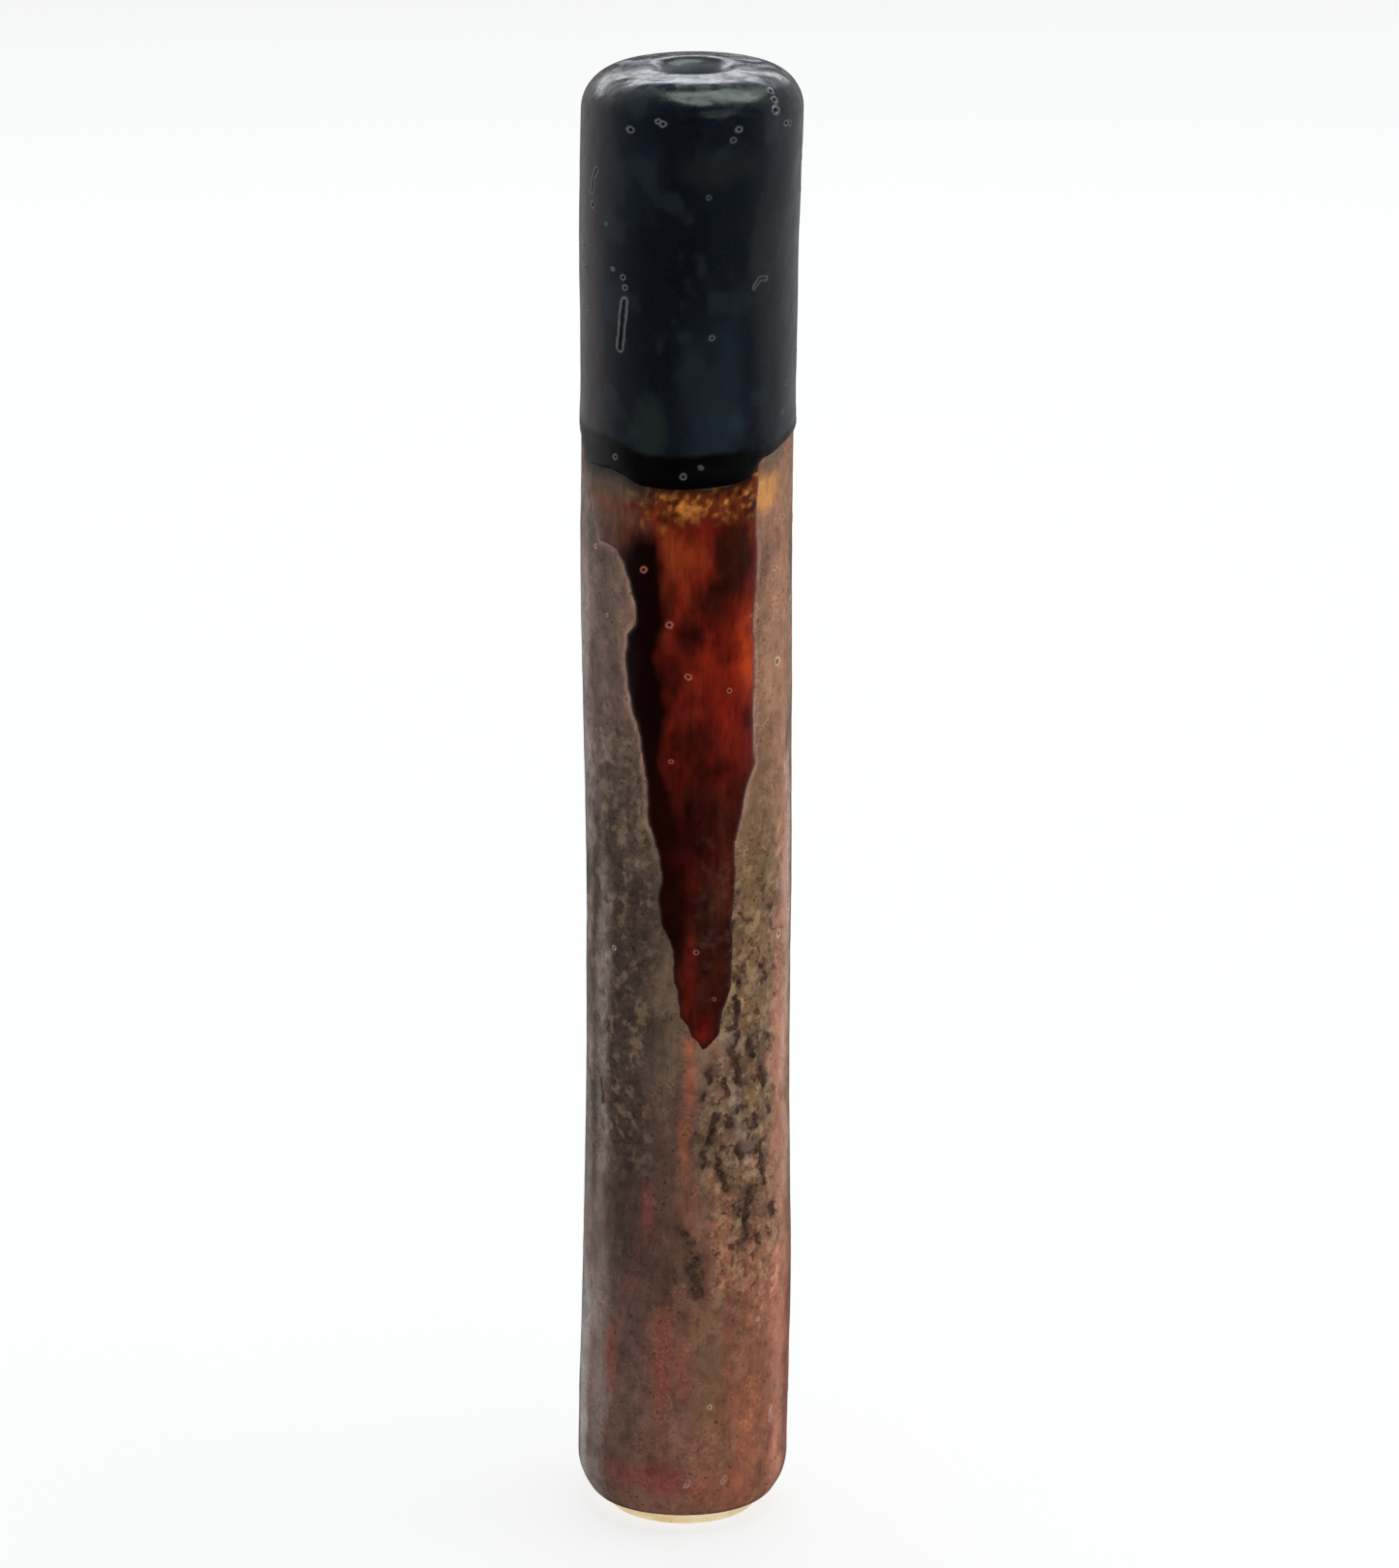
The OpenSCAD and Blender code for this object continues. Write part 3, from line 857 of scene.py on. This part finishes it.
def paint_amber(az, z):
    """The run's colours: gold, then orange-red, then maroon, with a near-black pool along its left edge, and
    painted shade under the black dip's edge.
    """
    depth = run_depth(az, z)
    deg = np.degrees(az)
    c = mix(rgb(94, 18, 6), rgb(62, 11, 5), ease((190 - z) / 22)[:, None])
    c = mix(c, rgb(52, 16, 10), ease((158 - z) / 20)[:, None])
    streak = fbm(az, z, 4.5, 152, 5, 3)
    c = tint(c, [1.4, 1.6, 1.5], ease((streak - 0.1) / 0.6) * 0.5)
    c = blend(c, c * 0.5, ease((-streak - 0.1) / 0.6) * 0.5)
    c = paint_patches(c, az, z, AMBER_PATCHES, 160)
    cloud = fbm(az, z, 3.4, 158, 1.5, 3)
    c = tint(c, [1.55, 1.7, 1.6], ease((cloud - 0.05) / 0.55) * 0.55)
    c = tint(c, [0.42, 0.34, 0.34], ease((-cloud - 0.05) / 0.55) * 0.6)
    inner_edge = mix(-1.0, -13.5, ease((z - 145) / 40)) + 3.5 * fbm(az, z, 5, 155, 1.6, 3)
    top = 236 - 0.5 * np.clip(-deg - 26, 0, 20)
    pool = ease((inner_edge - deg) / 8.0 + 0.6) * ease((top - z) / 8) * mix(0.8, 1.0, ease((z - 160) / 30))
    c = blend(c, rgb(16, 1, 0), pool * ease((z - 126) / 16))
    gold = ease((z - 231 - 4 * fbm(az, z, 4, 156, 1, 2)) / 8) * ease((deg + 46) / 24)
    spots = ease((fbm(az, z, 1.2, 153, 1.1, 3) + 0.18) / 1.15)
    c = blend(c, mix(rgb(100, 44, 15), rgb(206, 130, 58), spots[:, None]), gold * 0.9)
    c = blend(c, rgb(44, 15, 6), gold * ease((-fbm(az, z, 2.6, 154, 1.1, 3) - 0.02) / 0.45) * 0.9)
    # Painted shade under the black dip's thick edge, across the run
    under_dip = ease(1 - (dip_edge_z(az) - z) / 2.6) * ease((40 - deg) / 10)
    c = blend(c, rgb(38, 18, 8), under_dip * 0.75)
    rim = np.exp(-((depth / 0.45) ** 2)) * ease((229 - z) / 6)
    c = blend(c, rgb(40, 14, 10), rim * 0.8)
    dull = dull_run(az, z)
    c = blend(c, mix(rgb(104, 66, 44), rgb(84, 68, 52), ease((z - 236) / 5)[:, None]), dull * 0.9)
    # More painted shade under the dip's edge, at the run's left
    fringe = ease(1 - (dip_edge_z(az) - z) / 3.2) * ease((-14 - deg) / 10)
    return blend(c, rgb(40, 33, 29), fringe * 0.75)


def dull_run(az, z):
    """1 where the run is matte and grey under the dip at the upper left."""
    return ease((z - 235.5 - 2 * fbm(az, z, 4, 157, 1, 2)) / 4) * ease((-16 - np.degrees(az)) / 22)


# Soft patches of the black glaze, in the same form
BLACK_PATCHES = [
    (-22, 256, 10, 9, (30, 40, 38), 0.8),  # greenish, above the roll at the left
    (14, 266, 18, 24, (26, 38, 47), 0.7),  # blue haze, right of the middle
    (27, 256, 12, 8, (34, 46, 54), 0.8),  # paler blue, low
    (-6, 290, 20, 30, (7, 10, 16), 0.7),  # deep black, upper middle
    (44, 285, 12, 34, (36, 42, 40), 0.5),  # grey-green, toward the right edge
    # The pale haze under the shoulder is a painted reflection of the front light
    (20, 312, 24, 5, (30, 36, 34), 0.6),  # pale haze under the shoulder
]


def paint_black(az, z, r):
    """Blue-black, with a brown cast at the left and grey at the right, both partly painted sheen towards the
    edges, a pure black roll along the edge and a pale grey painted highlight round the lip and down inside
    the mouth."""
    deg = np.degrees(az)
    c = np.tile(rgb(11, 18, 28), (len(az), 1))
    haze = 0.5 + 0.5 * fbm(az, z, 14, 171, 1.8, 3)
    c = blend(c, rgb(22, 34, 46), ease((haze - 0.45) / 0.4) * 0.7)
    c = paint_patches(c, az, z, BLACK_PATCHES, 190)
    soft = 10 * fbm(az, z, 10, 176, 3, 2)
    # Lighter towards both edges: the brownish cast at the left and the grey at the right are partly the
    # glaze's own tint and partly painted sheen from grazing reflections
    left = ease((-44 - deg + soft) / 22) * ease((deg + 160 + soft) / 80)
    c = blend(c, rgb(48, 35, 37), left * (0.75 + 0.25 * fbm(az, z, 6, 173, 5, 2)))
    right = ease((deg - 48 + soft) / 20) * ease((165 - deg + soft) / 80)
    c = blend(c, rgb(36, 38, 42), right * (0.8 + 0.2 * fbm(az, z, 6, 174, 5, 2)))
    mist = ease((fbm(az, z, 6, 177, 1.2, 3) - 0.12) / 0.5)
    c = blend(c, rgb(29, 37, 43), mist * 0.6)
    # Painted highlight: pale grey on the lip and down inside the mouth, standing in for light caught there
    lip = ease((MOUTH_CLAY_R + 1.2 - r) / 1.4)
    c = blend(c, rgb(118, 122, 128), lip * 0.5)
    return blend(c, rgb(1, 1, 2), roll_shade(az, z) * ease((r - 16) / 4))


def roll_shade(az, z):
    """1 on the thick pure black roll along the dip's edge, 0 above its wavy upper limit."""
    left = 2.8 * ease((-20 - np.degrees(az)) / 25) * ease((np.degrees(az) + 120) / 30)
    limit = np.maximum(249.4 + left + 1.3 * fbm(az, 0 * az, 8, 175, 1, 3), dip_edge_z(az) + 2.4)
    return ease((limit - z) / 1.5 + 0.5)


def paint_crust(az, z):
    """Dark brown with a purple cast, paler and olive at the streaks' edges."""
    depth = crust_depth(az, z)
    lumps = 0.5 + 0.5 * fbm(az, z, 1.1, 181, 1, 2)
    c = mix(rgb(80, 53, 43), rgb(34, 20, 16), lumps[:, None])
    return blend(c, rgb(104, 80, 56), ease((0.4 - depth) / 0.6) * 0.6)


def store_colour(obj, colours):
    """Paints the mesh's points."""
    data = np.ones((len(colours), 4), np.float32)
    data[:, :3] = np.clip(colours, 0, 1)
    layer = obj.data.color_attributes.new("glaze_colour", "FLOAT_COLOR", "POINT")
    layer.data.foreach_set("color", data.ravel())


def store_mask(obj, name, values):
    """Gives the mesh's points a number each, which a material reads by name."""
    layer = obj.data.attributes.new(name, "FLOAT", "POINT")
    layer.data.foreach_set("value", np.asarray(values, np.float32))


def paint_mark_highlight_and_shade(colours, rim, pit, rim_highlight_colour, pit_shade_gain):
    """Colours with a painted highlight on the rims round the marks and painted shade in their pits."""
    # Painted light: pale rims stand for highlights caught on the raised rims, darkened pits for shade in
    # them
    colours = blend(colours, rim_highlight_colour, rim * 0.8)
    return blend(colours, colours * pit_shade_gain, pit)


# ---- materials


class Nodes:
    """Short ways to add nodes to a tree."""

    def __init__(self, tree):
        self.tree = tree

    def add(self, kind, **settings):
        node = self.tree.nodes.new(kind)
        for key, value in settings.items():
            setattr(node, key, value)
        return node

    def feed(self, socket, value):
        """Gives an input a number, a colour or another node's output."""
        if isinstance(value, bpy.types.NodeSocket):
            self.tree.links.new(value, socket)
        else:
            socket.default_value = value

    def remap(self, value, a, b, c=0.0, d=1.0):
        """value from a to b becomes c to d, eased and held at the ends."""
        node = self.add("ShaderNodeMapRange", interpolation_type="SMOOTHSTEP")
        self.feed(node.inputs["Value"], value)
        for key, number in zip(("From Min", "From Max", "To Min", "To Max"), (a, b, c, d)):
            node.inputs[key].default_value = number
        return node.outputs["Result"]

    def math(self, operation, a, b=0.0):
        node = self.add("ShaderNodeMath", operation=operation)
        self.feed(node.inputs[0], a)
        self.feed(node.inputs[1], b)
        return node.outputs["Value"]

    def times(self, a, b):
        return self.math("MULTIPLY", a, b)

    def plus(self, a, b):
        return self.math("ADD", a, b)


class Shader(Nodes):
    """A material's nodes, round its Principled surface."""

    def __init__(self, name):
        self.material = bpy.data.materials.new(name)
        self.material.use_nodes = True
        super().__init__(self.material.node_tree)
        self.surface = self.tree.nodes["Principled BSDF"]
        self.place = self.add("ShaderNodeTexCoord").outputs["Object"]

    def attribute(self, name, output="Fac"):
        return self.add("ShaderNodeAttribute", attribute_name=name).outputs[output]

    def stretched(self, x, y, z):
        """The object's coordinates times x, y and z, so that noise on them has a longer or shorter grain."""
        node = self.add("ShaderNodeMapping")
        self.feed(node.inputs["Vector"], self.place)
        node.inputs["Scale"].default_value = (x, y, z)
        return node.outputs["Vector"]

    def noise(self, grain_mm, detail=3.0, rough=0.55, place=None):
        """Noise with that grain, about 0.3 to 0.7."""
        node = self.add("ShaderNodeTexNoise")
        self.feed(node.inputs["Vector"], place or self.place)
        node.inputs["Scale"].default_value = 1 / (grain_mm * MM)
        node.inputs["Detail"].default_value = detail
        node.inputs["Roughness"].default_value = rough
        return node.outputs["Fac"]

    def cells(self, grain_mm):
        """Distance to the nearest of many scattered points, 0 to about 1."""
        node = self.add("ShaderNodeTexVoronoi")
        self.feed(node.inputs["Vector"], self.place)
        node.inputs["Scale"].default_value = 1 / (grain_mm * MM)
        return node.outputs["Distance"]

    def mix_colour(self, amount, a, b, blend_type="MIX"):
        node = self.add("ShaderNodeMix", data_type="RGBA", blend_type=blend_type)
        self.feed(node.inputs["Factor"], amount)
        self.feed(node.inputs[6], a)
        self.feed(node.inputs[7], b)
        return node.outputs[2]

    def tinted(self, amount, colour, gains):
        """colour times gains, by amount."""
        return self.mix_colour(amount, colour, (*gains, 1), "MULTIPLY")

    def bump(self, layers):
        """Bump from (height, depth in mm) layers, chained."""
        normal = None
        for height, depth in layers:
            node = self.add("ShaderNodeBump")
            node.inputs["Strength"].default_value = 1.0
            node.inputs["Distance"].default_value = depth * MM
            self.feed(node.inputs["Height"], height)
            if normal is not None:
                self.feed(node.inputs["Normal"], normal)
            normal = node.outputs["Normal"]
        self.feed(self.surface.inputs["Normal"], normal)

    def finished(self, colour, rough, specular):
        """The material, with its surface's colour, roughness and specular level."""
        self.feed(self.surface.inputs["Base Color"], colour)
        self.feed(self.surface.inputs["Roughness"], rough)
        self.surface.inputs["Specular IOR Level"].default_value = specular
        return self.material


def brown_material():
    """Matte and mottled, with fine upright streaks, pale and dark curls, specks and crusty blots."""
    m = Shader("matte brown glaze")
    colour = m.attribute("glaze_colour", "Color")
    crust = m.attribute("crusty")
    fine = m.noise(0.8, 3)
    soft = m.noise(2.6, 4, 0.6)
    grain = m.noise(0.35, 3)
    upright = m.noise(1.1, 4, place=m.stretched(1, 1, 0.2))
    pale = m.times(m.remap(soft, 0.52, 0.7), m.plus(m.times(crust, 0.65), 0.28))
    colour = m.tinted(pale, colour, (1.7, 1.68, 1.66))
    colour = m.tinted(m.remap(soft, 0.48, 0.32, 0, 0.45), colour, (0.45, 0.40, 0.37))
    colour = m.tinted(m.remap(upright, 0.5, 0.3, 0, 0.35), colour, (0.5, 0.45, 0.42))
    colour = m.tinted(m.remap(fine, 0.5, 0.3, 0, 0.3), colour, (0.5, 0.46, 0.44))
    lines = m.math("ABSOLUTE", m.math("SUBTRACT", m.noise(2.6, 2, 0.5), 0.5))
    where = m.remap(m.noise(7, 2), 0.42, 0.58)
    curl = m.times(m.remap(lines, 0.035, 0.0), where)
    colour = m.tinted(m.times(curl, 0.5), colour, (1.6, 1.6, 1.6))
    beside = m.times(m.times(m.remap(lines, 0.03, 0.06), m.remap(lines, 0.10, 0.06)), where)
    colour = m.tinted(m.times(beside, 0.35), colour, (0.4, 0.36, 0.34))
    specks = m.times(m.remap(m.cells(1.7), 0.3, 0.12), m.remap(m.noise(2.4, 2), 0.52, 0.62))
    colour = m.tinted(m.times(specks, 0.6), colour, (0.1, 0.08, 0.07))
    blots = m.times(m.remap(m.noise(2.2, 4, 0.62), 0.54, 0.64), crust)
    colour = m.tinted(m.times(blots, 0.75), colour, (0.2, 0.15, 0.12))
    halo = m.times(m.remap(m.noise(3.1, 4, 0.6), 0.5, 0.64), crust)
    colour = m.mix_colour(m.times(halo, 0.4), colour, (0.34, 0.24, 0.13, 1), "SCREEN")
    m.bump([(m.noise(2.4, 3), 0.2), (curl, 0.05), (fine, 0.07), (grain, 0.03), (blots, 0.16)])
    return m.finished(colour, m.remap(fine, 0.3, 0.7, 0.5, 0.68), 0.28)


def black_material():
    """Glossy, with a faint bloom above the roll, and ripples and duller streaks on the dome."""
    m = Shader("black glaze")
    colour = m.attribute("glaze_colour", "Color")
    dome = m.attribute("dome")
    roll = m.attribute("roll")
    fine = m.noise(0.7, 4)
    bloom = m.times(m.remap(fine, 0.5, 0.75, 0, 0.25), m.math("SUBTRACT", 1.0, roll))
    colour = m.mix_colour(bloom, colour, (0.008, 0.012, 0.014, 1), "ADD")
    streaks = m.noise(3.2, 4, 0.6, place=m.stretched(1, 1, 2.5))
    dull = m.times(dome, m.remap(streaks, 0.42, 0.62, -0.06, 0.08))
    rough = m.plus(m.remap(m.noise(6, 3), 0.35, 0.65, 0.24, 0.32), dull)
    rough = m.plus(rough, m.times(roll, 0.12))
    wave = m.noise(8, 2, 0.45, place=m.stretched(0.5, 1, 1))
    ripple = m.times(wave, m.plus(m.times(dome, 0.9), 0.35))
    m.bump([(ripple, 0.7), (m.noise(1.8, 2), 0.04), (fine, 0.012)])
    return m.finished(colour, rough, 0.45)


def amber_material():
    """Very glossy, with silky upright streaks, misty towards the tip and dull where it is grey."""
    m = Shader("amber glaze")
    colour = m.attribute("glaze_colour", "Color")
    silky = m.noise(1.2, 5, 0.6, place=m.stretched(1, 1, 0.22))
    cloud = m.noise(1.5, 3)
    colour = m.tinted(m.remap(silky, 0.5, 0.72, 0, 0.4), colour, (1.9, 1.9, 1.7))
    colour = m.tinted(m.remap(silky, 0.48, 0.3, 0, 0.45), colour, (0.3, 0.2, 0.18))
    misty = m.times(m.attribute("misty"), m.remap(m.noise(2.6, 3), 0.5, 0.7))
    colour = m.mix_colour(m.times(misty, 0.22), colour, (0.12, 0.07, 0.055, 1))
    rough = m.plus(m.remap(cloud, 0.3, 0.7, 0.12, 0.2), m.times(m.attribute("dull"), 0.4))
    m.bump([(m.noise(5, 2), 0.16), (cloud, 0.02)])
    return m.finished(colour, rough, 0.4)


def crust_material():
    """Dry and gritty."""
    m = Shader("iron crust")
    grit = m.noise(0.45, 4, 0.7)
    light = m.remap(grit, 0.5, 0.7, 0, 0.6)
    colour = m.mix_colour(light, m.attribute("glaze_colour", "Color"), (0.13, 0.08, 0.045, 1), "SCREEN")
    m.bump([(grit, 0.16), (m.noise(1.0, 2), 0.12)])
    return m.finished(colour, m.remap(grit, 0.3, 0.7, 0.6, 0.85), 0.15)


def clay_material():
    """Sandy buff clay with a few iron specks."""
    m = Shader("bare clay")
    sand = m.noise(0.5, 4, 0.6)
    cloud = m.remap(m.noise(7, 3), 0.35, 0.65)
    colour = m.mix_colour(cloud, (0.80, 0.60, 0.32, 1), (0.90, 0.76, 0.50, 1))
    colour = m.mix_colour(m.remap(sand, 0.5, 0.7, 0, 0.5), colour, (0.93, 0.84, 0.64, 1))
    specks = m.times(m.remap(m.cells(1.1), 0.26, 0.14), m.remap(m.noise(1.7, 2), 0.55, 0.6))
    colour = m.mix_colour(specks, colour, (0.19, 0.09, 0.05, 1))
    m.bump([(sand, 0.10), (m.noise(0.2, 2), 0.04)])
    return m.finished(colour, m.remap(sand, 0.3, 0.7, 0.72, 0.92), 0.25)


def liner_material():
    """Thin, glossy and dark brown."""
    m = Shader("liner glaze")
    cloud = m.noise(6, 4)
    colour = m.mix_colour(m.remap(cloud, 0.35, 0.65), (0.035, 0.02, 0.015, 1), (0.08, 0.045, 0.03, 1))
    m.bump([(m.noise(3, 2), 0.08)])
    return m.finished(colour, m.remap(cloud, 0.3, 0.7, 0.2, 0.34), 0.5)


# ---- the pieces


def finish_piece(obj, material, node):
    obj.data.polygons.foreach_set("use_smooth", [True] * len(obj.data.polygons))
    obj.data.materials.append(material)
    obj.data.update()
    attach(obj, "root")
    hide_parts(node)
    return obj


def build_brown():
    obj = make_brown()
    refine_marks(obj, BROWN_MARKS)
    rim, pit = shape_marks(obj, BROWN_MARKS)
    az, z, _ = round_place(coords(obj))
    # The marks get a painted highlight on their rims and painted shade in their pits
    store_colour(obj, paint_mark_highlight_and_shade(paint_brown(az, z), rim, pit, rgb(214, 190, 172), 0.3))
    store_mask(obj, "crusty", crusty(az, z))
    finish_piece(obj, brown_material(), "brown_glaze")


def build_black():
    obj = make_black()
    refine_marks(obj, BLACK_MARKS)
    rim, pit = shape_marks(obj, BLACK_MARKS)
    az, z, r = round_place(coords(obj))
    # The marks get a painted highlight on their rims and painted shade in their pits
    store_colour(obj, paint_mark_highlight_and_shade(paint_black(az, z, r), rim, pit, rgb(104, 106, 108), 0.3))
    store_mask(obj, "dome", ease((z - 316) / 7))
    store_mask(obj, "roll", roll_shade(az, z) * ease((r - 16) / 4))
    finish_piece(obj, black_material(), "black_glaze")


def build_amber():
    obj = make_run()
    refine_marks(obj, AMBER_MARKS)
    rim, pit = shape_marks(obj, AMBER_MARKS)
    az, z, _ = round_place(coords(obj))
    # The marks get a painted highlight on their rims and painted shade in their pits
    store_colour(obj, paint_mark_highlight_and_shade(paint_amber(az, z), rim, pit, rgb(176, 104, 84), 0.4))
    store_mask(obj, "dull", dull_run(az, z))
    store_mask(obj, "misty", ease((172 - z) / 20) * ease((z - 122) / 14) * ease((np.degrees(az) + 2) / 10))
    finish_piece(obj, amber_material(), "amber_run")


def build_crust():
    obj = make_crust()
    az, z, _ = round_place(coords(obj))
    store_colour(obj, paint_crust(az, z))
    finish_piece(obj, crust_material(), "iron_crust")


def build_clay():
    material = clay_material()
    for make, node in ((make_base, "clay_base"), (make_wall, "clay_wall"), (make_shoulder, "clay_shoulder")):
        finish_piece(make(), material, node)
    finish_piece(make_liner(), liner_material(), "liner_glaze")


# ---- stage, light and camera


def floor_material():
    """Nearly white, mostly by its own glow, so that the bottle's shadow stays faint."""
    material = bpy.data.materials.new("floor")
    material.use_nodes = True
    surface = material.node_tree.nodes["Principled BSDF"]
    surface.inputs["Base Color"].default_value = (0.22, 0.22, 0.22, 1)
    surface.inputs["Roughness"].default_value = 0.9
    surface.inputs["Specular IOR Level"].default_value = 0.1
    surface.inputs["Emission Color"].default_value = (1, 1, 1, 1)
    surface.inputs["Emission Strength"].default_value = 0.735
    return material


# The stage's sizes in metres: where its floor starts to curve up, how widely, and how high it ends
FLOOR_R = 2.6
COVE_R = 1.4
STAGE_TOP = 3.6
STAGE_SIDES = 96


def make_stage():
    """A pale round floor that curves up into a plain backdrop on all sides."""
    section = [(0.02, 0), (0.4, 0), (1.2, 0), (2.4, 0)]
    section += arc(FLOOR_R, COVE_R, COVE_R, -90, 0, 12)
    section.append((FLOOR_R + COVE_R, STAGE_TOP))
    sides = range(STAGE_SIDES)
    angles = [2 * math.pi * k / STAGE_SIDES for k in sides]
    verts = [(0, 0, 0)] + [(r * math.cos(a), r * math.sin(a), z) for r, z in section for a in angles]
    following = [(k + 1) % STAGE_SIDES for k in sides]
    faces = [[0, 1 + k, 1 + n] for k, n in zip(sides, following)]
    for i in range(len(section) - 1):
        low = 1 + i * STAGE_SIDES
        high = low + STAGE_SIDES
        faces += [[low + k, high + k, high + n, low + n] for k, n in zip(sides, following)]
    mesh = bpy.data.meshes.new("floor")
    mesh.from_pydata(verts, [], faces)
    floor = bpy.data.objects.new("floor", mesh)
    bpy.context.scene.collection.objects.link(floor)
    mesh.polygons.foreach_set("use_smooth", [True] * len(mesh.polygons))
    mesh.materials.append(floor_material())
    floor.visible_glossy = False


def softbox(name, place, target, size, radiance, colour):
    """A rectangular light. radiance is how bright it looks, so its power follows its size."""
    light = bpy.data.lights.new(name, "AREA")
    light.shape = "RECTANGLE"
    light.size, light.size_y = size
    light.energy = radiance * math.pi * size[0] * size[1]
    light.color = colour
    obj = bpy.data.objects.new(name, light)
    obj.location = place
    obj.rotation_euler = (Vector(target) - Vector(place)).to_track_quat("-Z", "Y").to_euler()
    obj.visible_camera = False
    bpy.context.scene.collection.objects.link(obj)


def make_lights():
    """They show mostly as reflections on the dome. The floor's glow lights the sides."""
    top = (0, 0, 0.33)
    softbox("back", (-0.2, 1.5, 1.06), top, (2.4, 0.5), 4.0, (0.90, 0.94, 1.0))
    softbox("overhead", (0.27, 0.05, 1.42), top, (0.7, 1.1), 4.5, (0.86, 1.0, 0.90))
    softbox("front right", (0.75, -1.35, 1.15), (0, 0, 0.3), (0.9, 0.7), 0.85, (0.97, 1.0, 0.97))


def make_world():
    """A studio that is dark in front and below, bright behind at both sides, and dimmer straight behind."""
    world = bpy.data.worlds.new("studio")
    bpy.context.scene.world = world
    world.use_nodes = True
    n = Nodes(world.node_tree)
    split = n.add("ShaderNodeSeparateXYZ")
    n.feed(split.inputs[0], n.add("ShaderNodeTexCoord").outputs["Generated"])
    behind = n.remap(split.outputs["Y"], -0.7, 0.5, 0.015, 0.5)
    above = n.remap(split.outputs["Z"], -0.7, -0.3, 0.1, 1.0)
    aside = n.remap(n.math("ABSOLUTE", split.outputs["X"]), 0.1, 0.45, 0.25, 1.0)
    background = n.tree.nodes["Background"]
    background.inputs["Color"].default_value = (0.95, 0.97, 1.0, 1)
    n.feed(background.inputs["Strength"], n.times(n.times(behind, above), aside))


def make_camera():
    """A long lens from in front, looking a little down, with the slight tilt of a hand-held shot. Metres
    and degrees."""
    pitch = math.radians(17.78)
    roll = 0.373
    distance = 1.645
    target = Vector((0.00272, 0, 0.16855))
    back = Vector((0, -math.cos(pitch), math.sin(pitch)))
    data = bpy.data.cameras.new("camera")
    data.sensor_width = 36
    data.lens = 172.5
    data.clip_end = 20
    camera = bpy.data.objects.new("camera", data)
    turn = (-back).to_track_quat("-Z", "Y").to_matrix().to_4x4()
    tilt = Matrix.Rotation(math.radians(roll), 4, "Z")
    camera.matrix_world = Matrix.Translation(target + back * distance) @ turn @ tilt
    bpy.context.scene.collection.objects.link(camera)
    bpy.context.scene.camera = camera


make_camera()
make_stage()
make_lights()
make_world()
build_brown()
build_black()
build_amber()
build_crust()
build_clay()
bpy.context.scene.view_settings.view_transform = "Standard"
